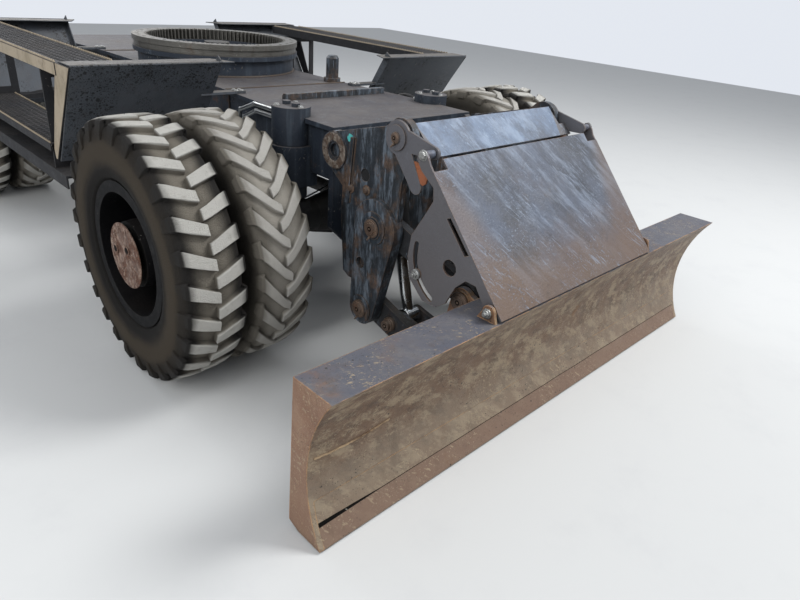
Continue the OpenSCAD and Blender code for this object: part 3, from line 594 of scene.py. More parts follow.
@dataclass(frozen=True)
class BrightMetal:
    """Chrome or machined steel with a film of oil and dust."""

    name: str
    base: str
    roughness: float
    oil: str = "4a443c"
    dirt: str = "8a8276"

    def make(self) -> Material:
        """Builds the material.

        Returns:
            The finished material.
        """
        made, g, shader = new_material(self.name)
        coat = Coat(g, self.base)
        film = EFFECTS.patches.lay(g, Scale=12.0, Coverage=0.4, Softness=0.25, Shift=0.9)["Mask"]
        dust = EFFECTS.dust.lay(g, Amount=0.5, Scale=9.0, Everywhere=0.1)["Mask"]
        coat.lay(film, self.oil, 0.5)
        coat.lay(dust, self.dirt)
        g.feed(shader.inputs["Base Color"], coat.shown)
        g.feed(shader.inputs["Roughness"], g.plus(self.roughness, g.times(film, 0.3)))
        g.feed(shader.inputs["Metallic"], g.minus(1.0, dust, clamp=True))
        g.feed(shader.inputs["Normal"], EFFECTS.edges.lay(g, Radius=0.002, Amount=0.0)["Normal"])
        return made


@dataclass(frozen=True)
class PalePlain:
    """Plain pale floor that keeps the object's shadow."""

    name: str = "floor_pale"
    base: str = "c9cac9"
    other: str = "c3c4c4"

    def make(self) -> Material:
        """Builds the floor's material."""
        made, g, shader = new_material(self.name)
        coat = Coat(g, self.base)
        coat.lay(EFFECTS.patches.lay(g, Scale=3.0, Coverage=0.5, Softness=0.4)["Mask"], self.other)
        g.feed(shader.inputs["Base Color"], coat.shown)
        shader.inputs["Roughness"].default_value = 0.9
        return made


def new_material(name: str) -> tuple[Material, Graph, bpy.types.Node]:
    """Empty node material.

    Args:
        name: the material's name.

    Returns:
        The material, its graph and its shader node.
    """
    made = bpy.data.materials.new(name)
    made.use_nodes = True
    graph = Graph(made.node_tree)
    shader = graph.add("ShaderNodeBsdfPrincipled")
    graph.feed(graph.add("ShaderNodeOutputMaterial").inputs["Surface"], shader.outputs[0])
    return made, graph, shader


PALE_FOOT = Zone("857969", start=0.34, end=0.18, by=Where.HEIGHT, share=0.5)
BLADE_STEEL = WornMetal(
    "blade_steel", "6d5542", "7d6a55", rust="7d5638", rust_dark="46352a", bare="a8977c", dirt="8d8270",
    streak="4a392c", edge="c39566", edge_radius=0.006, roughness=0.55,
    zones=(
        PALE_FOOT,
        Zone("82604b", "X", 0.8, 0.95, share=0.75),
        # up-facing faces blue-grey: a painted reflection of the sky
        Zone("474e5c", start=0.8, end=0.97, share=0.86),
    ),
    wear=Wear(
        rust=0.3, rust_scale=4.2, rust_soft=0.22, second=0.45, dust=0.12, scratches=0.7, scratch_share=0.6,
        scuffs=0.64, scuff_share=0.6, scuff_scale=7.0, tilt=0.8, runs=0.25, spots=0.3, edges=1.0,
    ),
)
EDGE_STEEL = replace(
    BLADE_STEEL, name="edge_steel", edge="a68a68", edge_radius=0.003,
    zones=(PALE_FOOT, Zone("745c4d", start=0.079, end=0.076, by=Where.HEIGHT, share=0.8, ragged=0.0)),
)
FINISH_LIST = (
    WornMetal(
        "chassis_paint", "1c2531", "2b323c", dirt="6f6962", streak="56636f", edge="55504b",
        zones=(Zone("454143", share=0.85),),
        wear=Wear(rust=0.14, second=0.4, scratches=0.35, edges=0.5),
    ),
    WornMetal(
        "machined_steel", "66645f", "474540", rust="5f4a3a", edge="8b8780", roughness=0.42, metallic=0.6,
        wear=Wear(rust=0.2, rust_scale=8.0, rust_soft=0.25, dust=0.35, scratches=0.2, edges=0.5),
    ),
    WornMetal(
        "axle_black", "17191c", "25262a", dirt="5f5a52", edge="4b443d",
        wear=Wear(rust=0.12, dust=0.5, dust_everywhere=0.25, scratches=0.1, runs=0.2, edges=0.5),
    ),
    WornMetal(
        "bracket_paint", "24292f", "48525c", rust="614b3b", rust_dark="2e241e", bare="8b98a6", dirt="7c776d",
        streak="141516", edge="836b57", roughness=0.5,
        wear=Wear(
            rust=0.44, rust_scale=8.0, rust_soft=0.16, second=0.42, dust=0.2, scratches=0.55,
            scratch_share=0.6, scuffs=0.62, scuff_scale=11.0, tilt=0.03, runs=0.9, edges=1.0,
        ),
    ),
    BrightMetal("pipe_steel", "a4a8aa", 0.3),
    WornMetal("hose_black", "141416", "1f1f20", wear=Wear(rust=0.0, scratches=0.0, runs=0.0, edges=0.0)),
    WornMetal(
        "fender_grey", "4f545b", "41464c", rust="5d564d", rust_dark="37322d", dirt="6e675e", edge="77705f",
        zones=(Zone("5a554f", share=0.8),),
        wear=Wear(
            rust=0.16, rust_scale=2.5, rust_soft=0.3, second=0.45, scratches=0.15, runs=0.15, spots=0.62
        ),
    ),
    WornMetal(
        "step_black", "17181c", "232428", dirt="57524d", edge="4a4743", roughness=0.7,
        wear=Wear(rust=0.06, dust=0.35, scratches=0.1, runs=0.1, edges=0.5),
    ),
    WornMetal(
        "step_cream", "a39580", "857962", rust="5f523f", dirt="8c806a", edge="594c3a",
        wear=Wear(rust_scale=7.0, rust_soft=0.2, dust=0.3),
    ),
    WornMetal("shaft_steel", "2d2e30", "3b3936", wear=Wear(rust=0.35, dust=0.5)),
    BrightMetal("chrome_rod", "b9bcbe", 0.16),
    WornMetal(
        "linkage_steel", "1b1d21", "33363a", rust="5b4334", dirt="625c52", bare="7c8998", edge="6d5a49",
        wear=Wear(
            rust_scale=8.0, rust_soft=0.2, dust=0.3, scratches=0.4, scratch_share=0.5, scuffs=0.4,
            scuff_scale=8.0, tilt=0.3, edges=0.8,
        ),
    ),
    BLADE_STEEL,
    EDGE_STEEL,
    # blue-grey base and other tone: a painted reflection of the sky on the guard's grey paint; the sides and
    # the outer flank show the grey
    WornMetal(
        "guard_steel", "5f6e83", "4a5362", rust="5d564f", rust_dark="3d3936", bare="93a2b5", dirt="8b8477",
        streak="3f4550", edge="8d755f", roughness=0.48, metallic=0.2,
        clean_unreflected=Zone("626267", "X", 0.8, 0.95, share=0.85),
        zones=(Zone("5c5b5e", "X", -0.067, -0.064, by=Where.FLANK),),
        wear=Wear(
            rust=0.22, rust_scale=3.2, rust_soft=0.3, second=0.45, dust=0.1, scratches=0.75,
            scratch_share=0.4, scuffs=0.6, scuff_scale=5.0, tilt=0.35, edges=1.0,
        ),
    ),
    # blue-grey base and other tone: a painted reflection of the sky on the lower guard's grey paint; the
    # sides show the grey
    WornMetal(
        "guard_dark", "4b5260", "3a3d44", rust="66503f", rust_dark="403329", bare="8995a6", dirt="8b8477",
        streak="2c2f37", edge="94775c", roughness=0.48, metallic=0.2,
        clean_unreflected=Zone("5f5e61", "X", 0.8, 0.95, share=0.9),
        zones=(
            Zone("665243", start=0.82, end=0.62, by=Where.HEIGHT, share=0.75),
            Zone("665243", "X", 0.0, 0.1, by=Where.FLANK, share=0.45),
        ),
        wear=Wear(
            rust_scale=3.6, rust_soft=0.3, second=0.5, dust=0.1, scratches=0.8, scratch_share=0.45,
            scuffs=0.62, scuff_scale=5.0, runs=0.25, edges=1.0,
        ),
    ),
    TyreRubber("tyre_outer", "c3c1ba", "817b70", "14110e", "2b2620", "4f4537", "262422", 0.62),
    TyreRubber("tyre_inner", "b7b4ad", "a29d93", "24211d", "5b564d", "4b463e", "6f6a61", 0.5),
    WornMetal(
        "rim_black", "08080a", "0f0f11", dirt="2b2621", edge="3a3632", gloss=0.12,
        wear=Wear(rust=0.05, dust=0.25, scratches=0.0, runs=0.0, edges=0.5),
    ),
    WornMetal(
        "hub_rust", "5d4337", "9a8070", rust="6f4632", rust_dark="2b201b", bare="c0aa98", edge="8f7462",
        streak="2b201b",
        wear=Wear(
            rust=0.5, rust_scale=24.0, dust=0.1, scratches=0.5, scuffs=0.66, scuff_scale=20.0, runs=0.2
        ),
    ),
    WornMetal(
        "pin_rust", "4b3d34", "382f29", rust="6d4f3c", rust_dark="2c221c", edge="8d7460",
        wear=Wear(rust=0.45, rust_scale=20.0, rust_soft=0.2, dust=0.25, scratches=0.1, edges=0.9),
    ),
    WornMetal(
        "worn_rim", "6f645a", "453d36", rust="5f4838", rust_dark="2e2621", bare="a89f93", edge="8d7f70",
        streak="2a2522", wear=Wear(rust=0.5, rust_scale=30.0, dust=0.15, scuffs=0.66, scuff_scale=30.0),
    ),
    WornMetal(
        "rust_orange", "93583a", "7a4a33", rust="a5653d", rust_dark="66402e",
        wear=Wear(rust=0.5, rust_scale=20.0, rust_soft=0.2, dust=0.1),
    ),
    # pale tan of the crease: a painted highlight, with rust patches on it
    WornMetal(
        "crease_highlight", "a88f70", "80694f", rust="7d5f46", edge="b89c78",
        wear=Wear(rust=0.5, rust_scale=18.0, rust_soft=0.2, dust=0.1),
    ),
    WornMetal(
        "bolt_steel", "a3a4a2", "75736e", edge="c5c5c2", roughness=0.35, metallic=0.7,
        wear=Wear(rust=0.15, rust_scale=20.0, dust=0.2, scratches=0.0, edges=0.3),
    ),
    WornMetal(
        "weld_dark", "3d342d", "4f453c", rust="5f4a3a",
        wear=Wear(rust=0.4, rust_scale=25.0, rust_soft=0.2, dust=0.2, scratches=0.0),
    ),
    WornMetal(
        "paint_dab", "4fb3b0", "6cc4c0",
        wear=Wear(rust=0.1, rust_scale=30.0, dust=0.1, scratches=0.2, runs=0.0),
    ),
    # near-black of painted shade, for holes, sockets and the open seam
    WornMetal(
        "painted_shade_black", "090807", "0e0d0c", gloss=0.05,
        wear=Wear(rust=0.0, dust=0.1, scratches=0.0, runs=0.0, edges=0.0),
    ),
)
OWN_FINISH = {"guard_lower": "guard_dark"}


class Paints:
    """Materials by name, each built when it is first asked for."""

    def __init__(self) -> None:
        """Starts with none."""
        self.finishes = {finish.name: finish for finish in FINISH_LIST}
        self.made: dict[str, Material] = {}

    def get(self, name: str) -> Material:
        """The material of that name."""
        if name not in self.made:
            self.made[name] = self.finishes[name].make()
        return self.made[name]


PAINTS = Paints()


class Shape:
    """A mesh under construction, in metres."""

    def __init__(self) -> None:
        """Starts empty."""
        self.mesh = bmesh.new()

    def ring(self, points: Sequence[Vector]) -> Ring:
        """Adds vertices at points and gives them in the same order."""
        return [self.mesh.verts.new(p) for p in points]

    def skin(self, rings: Sequence[Ring]) -> None:
        """Joins neighbouring rings of as many vertices with quads."""
        for a, b in zip(rings, rings[1:]):
            for i in range(len(a)):
                j = (i + 1) % len(a)
                self.mesh.faces.new((a[i], a[j], b[j], b[i]))

    def solid(self, rings: Sequence[Ring]) -> None:
        """Joins rings and closes both ends."""
        self.skin(rings)
        self.mesh.faces.new(list(reversed(rings[0])))
        self.mesh.faces.new(rings[-1])

    def lathe(self, profile: Sequence[Point], segments: int) -> None:
        """Turns a closed profile round the X axis.

        Args:
            profile: (x, radius) points of a closed outline.
            segments: steps round the axis.
        """
        rings = []
        for t in turns(segments):
            c, s = math.cos(t), math.sin(t)
            rings.append(self.ring([Vector((x, r * c, r * s)) for x, r in profile]))
        self.skin([*rings, rings[0]])

    def drum(self, x0: float, x1: float, radius: float, segments: int = 32, at_yz: Point = (0, 0)) -> None:
        """Closed round bar along X."""
        self.solid([self.ring(hoop(Vector((x, *at_yz)), [radius] * segments)) for x in (x0, x1)])

    def bar(
        self, seat: Vector, ahead: Vector, start: float, end: float, radius: float, segments: int = 16,
        tip: float | None = None,
    ) -> None:
        """Closed round bar that stands on a seat.

        Args:
            seat: the point that it stands on.
            ahead: the way that it points, of length 1.
            start: height of its first end over the seat.
            end: height of its last end.
            radius: its radius.
            segments: steps round it, 6 for a hexagon.
            tip: radius of the last end, the same if None.
        """
        a, b = seat + ahead * start, seat + ahead * end
        along = (b - a).normalized()
        side = along.orthogonal().normalized()
        up = along.cross(side)
        ends = ((a, radius), (b, radius if tip is None else tip))
        self.solid([self.ring(hoop(middle, [r] * segments, side, up)) for middle, r in ends])

    def plate(self, outline: Sequence[Point], x0: float, x1: float) -> None:
        """Plate of a (y, z) outline, from x0 to x1, measured from the front axle."""
        self.solid([self.ring([at(x, y, z) for y, z in outline]) for x in (x0, x1)])

    def tube(self, points: Sequence[Vector], radius: float, segments: int = 12, ripple: float = 0.0) -> None:
        """Round tube along points, without twist, with closed ends.

        Args:
            points: its middle line.
            radius: its radius.
            segments: steps round it.
            ripple: how much every other ring is thicker, as a share.
        """
        rings = []
        side = (points[1] - points[0]).orthogonal().normalized()
        for i, middle in enumerate(points):
            ahead = (points[min(i + 1, len(points) - 1)] - points[max(i - 1, 0)]).normalized()
            side = (side - ahead * side.dot(ahead)).normalized()
            radii = [radius * (1 + ripple * (i % 2))] * segments
            rings.append(self.ring(hoop(middle, radii, side, ahead.cross(side))))
        self.solid(rings)

    def bead(self, points: Sequence[Vector], radius: float) -> None:
        """Rippled weld bead along points."""
        self.tube(points, radius, 7, 0.22)

    def weld(self, a: Vector, b: Vector, radius: float) -> None:
        """Rippled weld bead along a straight joint."""
        steps = max(4, int((b - a).length / 0.006))
        self.bead([a.lerp(b, i / steps) for i in range(steps + 1)], radius)

    def welds(self, x: float, ends: tuple[Point, Point], radius: float) -> None:
        """Straight weld beads on both sides, from one (y, z) to another."""
        for side in SIDES:
            self.weld(*(at(side * x, y, z) for y, z in ends), radius)

    def bolt(self, seat: Vector, ahead: Vector, size: float) -> None:
        """Hexagon bolt head on its washer, by the radius over its corners."""
        self.bar(seat, ahead, -0.001, 0.003, size * 1.3, 20)
        self.bar(seat, ahead, 0.002, size * 0.75, size, 6)

    def nipple(self, seat: Vector, ahead: Vector) -> None:
        """Grease nipple."""
        self.bar(seat, ahead, -0.001, 0.007, 0.006, 6)
        self.bar(seat, ahead, 0.006, 0.014, 0.0035, 10)
        self.bar(seat, ahead, 0.013, 0.018, 0.0045, 10, 0.003)

    def data(self, name: str) -> bpy.types.Mesh:
        """Ends the work on the mesh, with its faces outward, and names it."""
        bmesh.ops.recalc_face_normals(self.mesh, faces=self.mesh.faces)
        made = bpy.data.meshes.new(name)
        self.mesh.to_mesh(made)
        self.mesh.free()
        return made

    def piece(
        self, name: str, paint: str, body: str, where: Matrix | None = None, bevel: float = 0.0
    ) -> bpy.types.Object:
        """Turns the mesh into a piece that rides on a body, as carry does."""
        return carry(self.data(name), name, paint, body, where, bevel)


def carry(
    data: bpy.types.Mesh, name: str, paint: str, body: str, where: Matrix | None, bevel: float
) -> bpy.types.Object:
    """Makes an object of a mesh, dresses it and lets it ride.

    Args:
        data: the mesh, which objects may share.
        name: the piece's name.
        paint: its finish.
        body: the CAD body that carries it.
        where: its place, or None for the frame's origin.
        bevel: width of its rounded edges.

    Returns:
        The piece.
    """
    made = place_object(name, data)
    if not data.materials:
        data.materials.append(PAINTS.get(paint))
    if where is not None:
        made.matrix_world = where
    if bevel:
        rounded = made.modifiers.new("edges", "BEVEL")
        rounded.width = bevel
        rounded.segments = 2
        rounded.limit_method = "ANGLE"
        rounded.angle_limit = BEVEL_FROM
    for face in data.polygons:
        face.use_smooth = True
    data.set_sharp_from_angle(angle=SHARP_FROM)
    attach(made, body)
    LOG.info("piece %s on %s", name, body)
    return made


class Tread(Enum):
    """The two tread patterns."""

    BLOCK = "outer"
    CHEVRON = "inner"


@dataclass(frozen=True)
class Lugs:
    """One tread pattern's lugs, in metres, with the slope and the stagger as shares.

    A lug's foot reaches down the side wall as far as reach.
    """

    count: int
    slope: float
    centre_half: float
    shoulder_half: float
    height: float
    start: float
    draft: float
    stagger: float
    reach: float


LUGS = {
    Tread.BLOCK: Lugs(27, 0.42, 0.020, 0.027, 0.027, -0.004, 0.006, 0.46, 0.1),
    Tread.CHEVRON: Lugs(25, 1.15, 0.017, 0.030, 0.019, -0.012, 0.010, 0.5, 0.06),
}


@dataclass
class Tyre:
    """A tyre with real lugs, built round its own axle.

    A lug's crown rows are shares of its length with the drop of its top, and its foot rows are how far it
    stands out, how far down the wall it is and the share of its width.
    """

    tread: Tread
    outer_r: float = 0.525
    half_w: float = 0.131
    widest_r: float = 0.40
    bulge: float = 0.020
    wobble: float = 0.0022
    flaw: float = 0.0012
    tread_half: float = 0.117
    bead_x: float = 0.094
    bead_r: float = 0.262
    lip_r: float = 0.298
    segments: int = 144
    crown_rows: tuple[Point, ...] = ((0.0, 0.0), (0.25, 0.0005), (0.5, 0.0015), (0.75, 0.004), (0.92, 0.008))
    foot_rows: tuple[Triple, ...] = (
        (0.001, 0.017, 1.0), (0.004, 0.034, 0.95), (0.007, 0.05, 0.85), (0.0085, 0.066, 0.7),
        (0.0075, 0.082, 0.5),
    )

    def side_x(self, r: float) -> float:
        """Half width of the carcass at a radius."""
        return self.half_w - 0.008 - self.bulge * ((r - self.widest_r) / 0.115) ** 2

    def profile(self) -> list[Point]:
        """Closed outline of the carcass as (x, radius) points."""
        crown = self.outer_r - LUGS[self.tread].height
        low, high = self.lip_r + 0.008, crown - 0.022
        out, lip = self.bead_x, self.lip_r
        half = [(out - 0.02, self.bead_r), (out, self.bead_r + 0.004), (out, lip - 0.006)]
        half += [(out + 0.005, lip), (out + 0.011, lip + 0.003)]
        steps = 16
        for i in range(steps + 1):
            r = low + (high - low) * i / steps
            half.append((self.side_x(r) + 0.0015 * (i in (2, 3)), r))
        shoulder = self.side_x(high)
        for inset, drop in ((0.006, 0.012), (0.017, 0.005), (0.034, 0.001)):
            half.append((shoulder - inset, crown - drop))
        half += [(0.05, crown + 0.0005), (0.02, crown + 0.001)]
        return half + [(-x, r) for x, r in reversed(half)]

    def stations(self) -> list[tuple[Point, Point, float]]:
        """Stations of a lug from the middle to its foot on the side wall: top, base and half width."""
        lugs = LUGS[self.tread]
        top, base = self.outer_r, self.outer_r - lugs.height - 0.006
        rows: list[tuple[Point, Point, float]] = []
        for share, drop in self.crown_rows:
            x = lugs.start + (self.tread_half - 0.004 - lugs.start) * share
            half = lugs.centre_half + (lugs.shoulder_half - lugs.centre_half) * share
            rows.append(((x, top - drop), (x, base), half))
        for out, down, share in self.foot_rows:
            if down <= lugs.reach:
                r = top - down
                seat = (self.side_x(r) - 0.006, r)
                rows.append(((self.tread_half + out, r), seat, lugs.shoulder_half * share))
        return rows

    def lug(self, shape: Shape, angle: float, side: int, seed: int) -> None:
        """Adds one lug.

        Args:
            shape: the tyre's mesh.
            angle: the lug's place round the tyre, in radians.
            side: 1 or -1 for the two rows.
            seed: number that tells its small flaws from the others'.
        """
        lugs = LUGS[self.tread]
        rings = []
        for k, (top, base, half) in enumerate(self.stations()):
            reach = min(max(top[0], 0.0), self.tread_half - 0.004)
            turn = angle + lugs.slope * reach / self.outer_r
            wobble = self.wobble * noise.noise(Vector((seed * 3.7, k * 1.3, side * 5.1)))
            foot = half + lugs.draft
            points = []
            for (x, r), spread in ((base, -foot), (top, -half), (top, half), (base, foot)):
                a = turn + (spread + wobble) / self.outer_r
                r += self.flaw * noise.noise(Vector((seed * 1.9, k * 2.1, spread * 90 + side)))
                points.append(Vector((side * x, -r * math.cos(a), r * math.sin(a))))
            rings.append(shape.ring(points))
        shape.solid(rings)

    def build(self) -> bpy.types.Mesh:
        """Builds the tyre's mesh once, for every wheel that carries it, centred on its axle."""
        shape = Shape()
        shape.lathe(self.profile(), self.segments)
        lugs = LUGS[self.tread]
        pitch = math.tau / lugs.count
        for i in range(lugs.count):
            self.lug(shape, pitch * i, -1, i)
            self.lug(shape, pitch * (i + lugs.stagger), 1, i + 40)
        return shape.data(f"tyre_{self.tread.value}")

    def dress(self, data: bpy.types.Mesh, corner: str) -> None:
        """Puts the tyre on one wheel station.

        Args:
            data: the tyre's mesh.
            corner: fl, fr, rl or rr.
        """
        node = f"tyre_{corner}_{self.tread.value}"
        slot = f"tyre_{self.tread.value}"
        where = Matrix.Translation(node_centre(node))
        if corner.endswith("l"):
            where = where @ Matrix.Diagonal((-1, 1, 1, 1))
        made = carry(data, f"{node}_lugged", slot, f"wheels_{corner}", where, bevel=0.006)
        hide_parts(node)


@dataclass
class Hub:
    """Rusty planetary hub face with its plugs and bolts, and black discs of painted shade for the holes in
    its plugs.
    """

    radius: float = 0.132
    dish: Point = (0.03, 0.093)
    proud: float = 0.006
    bolt_circle: float = 0.112
    bolt_r: float = 0.0075
    bolts: int = 12
    plug_r: float = 0.0205
    hole_r: float = 0.013
    plugs: tuple[Point, ...] = ((0.08, 0.006), (-0.028, 0.032))

    def build(self, corner: str) -> None:
        """Builds the hub face of one wheel station.

        Args:
            corner: fl, fr, rl or rr.
        """
        low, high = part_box(f"wheel_{corner}")
        side = 1 if corner.endswith("l") else -1
        centre = node_centre(f"wheel_{corner}")
        seat = Matrix.Translation((side * max(abs(low.x), abs(high.x)), centre.y, centre.z))
        where = seat @ Matrix.Diagonal((side, 1, 1, 1))
        top, sunk = self.proud, self.proud - 0.002
        inner, outer = self.dish
        profile = [(0.0, 0.02), (0.0, self.radius), (sunk, self.radius), (top, self.radius - 0.003)]
        profile += [(top, outer + 0.002), (sunk, outer), (sunk, inner), (top, inner - 0.01)]
        shape = Shape()
        shape.lathe(profile, 64)
        shape.drum(0.0, top, self.plug_r, 24)
        for t in turns(self.bolts, 0.5):
            spot = (self.bolt_circle * math.cos(t), self.bolt_circle * math.sin(t))
            shape.drum(top - 0.001, top + 0.003, self.bolt_r, 6, spot)
        # black discs of painted shade for the holes in the plugs
        hole_shade = Shape()
        for spot in self.plugs:
            shape.drum(top - 0.004, top + 0.0035, self.plug_r, 24, spot)
            hole_shade.drum(top + 0.002, top + 0.004, self.hole_r, 20, spot)
        made = shape.piece(f"hub_face_{corner}", "hub_rust", f"wheels_{corner}", where, bevel=0.001)
        hole_shade.piece(f"hub_hole_shade_{corner}", "painted_shade_black", f"wheels_{corner}", where)


@dataclass(frozen=True)
class Linkage:
    """Places of the blade linkage in metres.

    Pins are (y, z) from the front axle, and layers are distances from the middle.
    """

    arm_pivot: Point = (-0.55, 0.30)
    link_pivot: Point = (-0.60, 0.68)
    low_pin: Point = (-1.01, 0.16)
    high_pin: Point = (-1.06, 0.54)
    cylinder_eye: Point = (-0.68, 0.262)
    guard_boss: Point = (-0.69, 1.055)
    knee: Point = (-0.873, 1.039)
    foot: Point = (-1.248, 0.604)
    stop_bolt: Point = (-0.8978, 0.6083)
    eye: Point = (-0.318, 0.922)
    arm_layer: float = 0.4315
    bracket_out: float = 0.465
    pin_end: float = 0.501
    blade_pin_end: float = 0.475
    hanger_end: float = 0.494
    cheek_out: float = 0.535
    foot_out: float = 0.564


LINKAGE = Linkage()


@dataclass
class PinCap:
    """Rusty end of a linkage pin: stepped rings, a cap with a black disc of painted shade for the socket in
    it, and a grease nipple.
    """

    rings: tuple[Point, ...] = ((0.04, 0.0025), (0.033, 0.005), (0.0255, 0.010))
    socket: float = 0.010

    def add(self, shape: Shape, hole_shade: Shape, x: float, pin: Point) -> None:
        """Adds the cap to both sides of a shape.

        Args:
            shape: the mesh that takes it.
            hole_shade: the mesh that takes the black disc of painted shade for its socket.
            x: distance of the pin's end from the middle.
            pin: (y, z) of the pin.
        """
        top = self.rings[-1][1] - 0.001
        for side in SIDES:
            seat, out = at(side * x, *pin), X_AXIS * side
            for radius, depth in self.rings:
                shape.bar(seat, out, -0.001, depth, radius, 36, radius - 0.002)
            # black disc of painted shade where the socket is
            hole_shade.bar(seat, out, top, top + 0.0014, self.socket, 20)
            shape.bar(seat, out, top, top + 0.003, self.socket * 0.5, 12)
            spot = seat + out * 0.004 - Z_AXIS * (self.rings[1][0] + 0.002)
            shape.nipple(spot, (out - Z_AXIS * 0.6).normalized())


@dataclass
class BracketDress:
    """Small pieces of the blade bracket: pin caps, bolt heads, welds, the worn eye and a dab of paint."""

    pins: Linkage = LINKAGE
    heads: tuple[Point, ...] = ((-0.524, 0.81), (-0.491, 0.464), (-0.43, 0.794))
    eye_rings: tuple[Point, ...] = ((0.0, 0.040), (0.0015, 0.042), (0.0018, 0.070), (0.0, 0.073))
    eye_x: float = 0.471
    ribs: tuple[tuple[Point, Point], ...] = (
        ((-0.448, 0.998), (-0.426, 0.731)), ((-0.4245, 0.998), (-0.4025, 0.731))
    )
    back_x: float = 0.434
    back: tuple[Point, Point] = ((-0.401, 0.50), (-0.401, 0.955))
    dab_spot: Point = (-0.413, 0.992)
    dab_r: float = 0.017

    def build(self) -> None:
        """Builds the pieces on both sides."""
        self.caps()
        self.eyes()
        self.welds()
        self.dab()

    def caps(self) -> None:
        """Pin caps and bolt heads."""
        shape, hole_shade = Shape(), Shape()
        for pin in (self.pins.arm_pivot, self.pins.link_pivot):
            PinCap().add(shape, hole_shade, self.pins.pin_end, pin)
        for side in SIDES:
            for head in self.heads:
                seat, out = at(side * self.pins.bracket_out, *head), X_AXIS * side
                shape.bar(seat, out, -0.001, 0.004, 0.021, 20)
                shape.bar(seat, out, 0.003, 0.014, 0.0165, 18, 0.010)
        shape.piece("bracket_pin_caps", "pin_rust", "chassis", bevel=0.001)
        hole_shade.piece("bracket_pin_socket_shade", "painted_shade_black", "chassis")
        ends, socket_shade = Shape(), Shape()
        cap = PinCap(rings=((0.033, 0.012), (0.030, 0.020), (0.024, 0.034)))
        cap.add(ends, socket_shade, self.pins.arm_layer, self.pins.cylinder_eye)
        ends.piece("cylinder_pin_caps", "pin_rust", "arm", bevel=0.001)
        socket_shade.piece("cylinder_pin_socket_shade", "painted_shade_black", "arm")

    def eyes(self) -> None:
        """Worn rings round the two front eyes."""
        shape = Shape()
        for side in SIDES:
            rings = []
            for x, r in self.eye_rings:
                radii = [r + 0.0012 * noise.noise(Vector((t * 2, r * 90, side))) for t in turns(48)]
                rings.append(shape.ring(hoop(at(side * (self.eye_x + x), *self.pins.eye), radii)))
            shape.skin(rings)
        shape.piece("bracket_eye_wear", "worn_rim", "chassis")

    def welds(self) -> None:
        """Weld beads along the rib and down the back plate."""
        shape = Shape()
        for rib in self.ribs:
            shape.welds(self.pins.bracket_out, rib, 0.004)
        shape.welds(self.back_x, self.back, 0.006)
        shape.piece("bracket_welds", "weld_dark", "chassis")

    def dab(self) -> None:
        """Dab of paint above the right-hand eye."""
        shape = Shape()
        middle = at(-self.pins.bracket_out - 0.0006, *self.dab_spot)
        ways = [Vector((math.cos(t) * 1.7, math.sin(t) * 1.7, 4.2)) for t in turns(22)]
        radii = [self.dab_r + 0.006 * noise.noise(way) for way in ways]
        shape.solid([shape.ring(hoop(middle + X_AXIS * depth, radii)) for depth in (0.0, 0.0008)])
        shape.piece("paint_dab", "paint_dab", "chassis")


@dataclass
class GuardDress:
    """Bolts, pins and rusty webs of the two folding guards."""

    pins: Linkage = LINKAGE
    web_layer: Point = (0.4725, 0.4795)
    web: tuple[Point, ...] = (
        (-0.774, 0.955), (-0.778, 0.99), (-0.83, 0.99), (-0.852, 0.95), (-0.846, 0.922), (-0.83, 0.912),
        (-0.8, 0.925),
    )

    def build(self) -> None:
        """Builds the pieces on both sides."""
        bolts, caps, hole_shade, webs = Shape(), Shape(), Shape(), Shape()
        for side in SIDES:
            out = X_AXIS * side
            seat = at(side * (self.pins.cheek_out + 0.011), *self.pins.stop_bolt)
            bolts.bar(seat, out, -0.012, 0.002, 0.0195, 24)
            bolts.bolt(seat + out * 0.001, out, 0.013)
            bolts.bar(seat, out, 0.009, 0.019, 0.007, 12)
            bolts.bolt(at(side * (self.pins.cheek_out - 0.001), *self.pins.knee), out, 0.015)
            webs.plate(self.web, side * self.web_layer[0], side * self.web_layer[1])
        cap = PinCap(rings=((0.0215, 0.0025), (0.019, 0.004), (0.016, 0.006)), socket=0.007)
        cap.add(caps, hole_shade, self.pins.hanger_end, self.pins.guard_boss)
        bolts.piece("guard_bolts", "bolt_steel", "front_guard", bevel=0.0008)
        caps.piece("guard_boss_caps", "pin_rust", "top_guard", bevel=0.0008)
        hole_shade.piece("guard_boss_socket_shade", "painted_shade_black", "top_guard")
        webs.piece("guard_webs", "rust_orange", "top_guard", bevel=0.001)


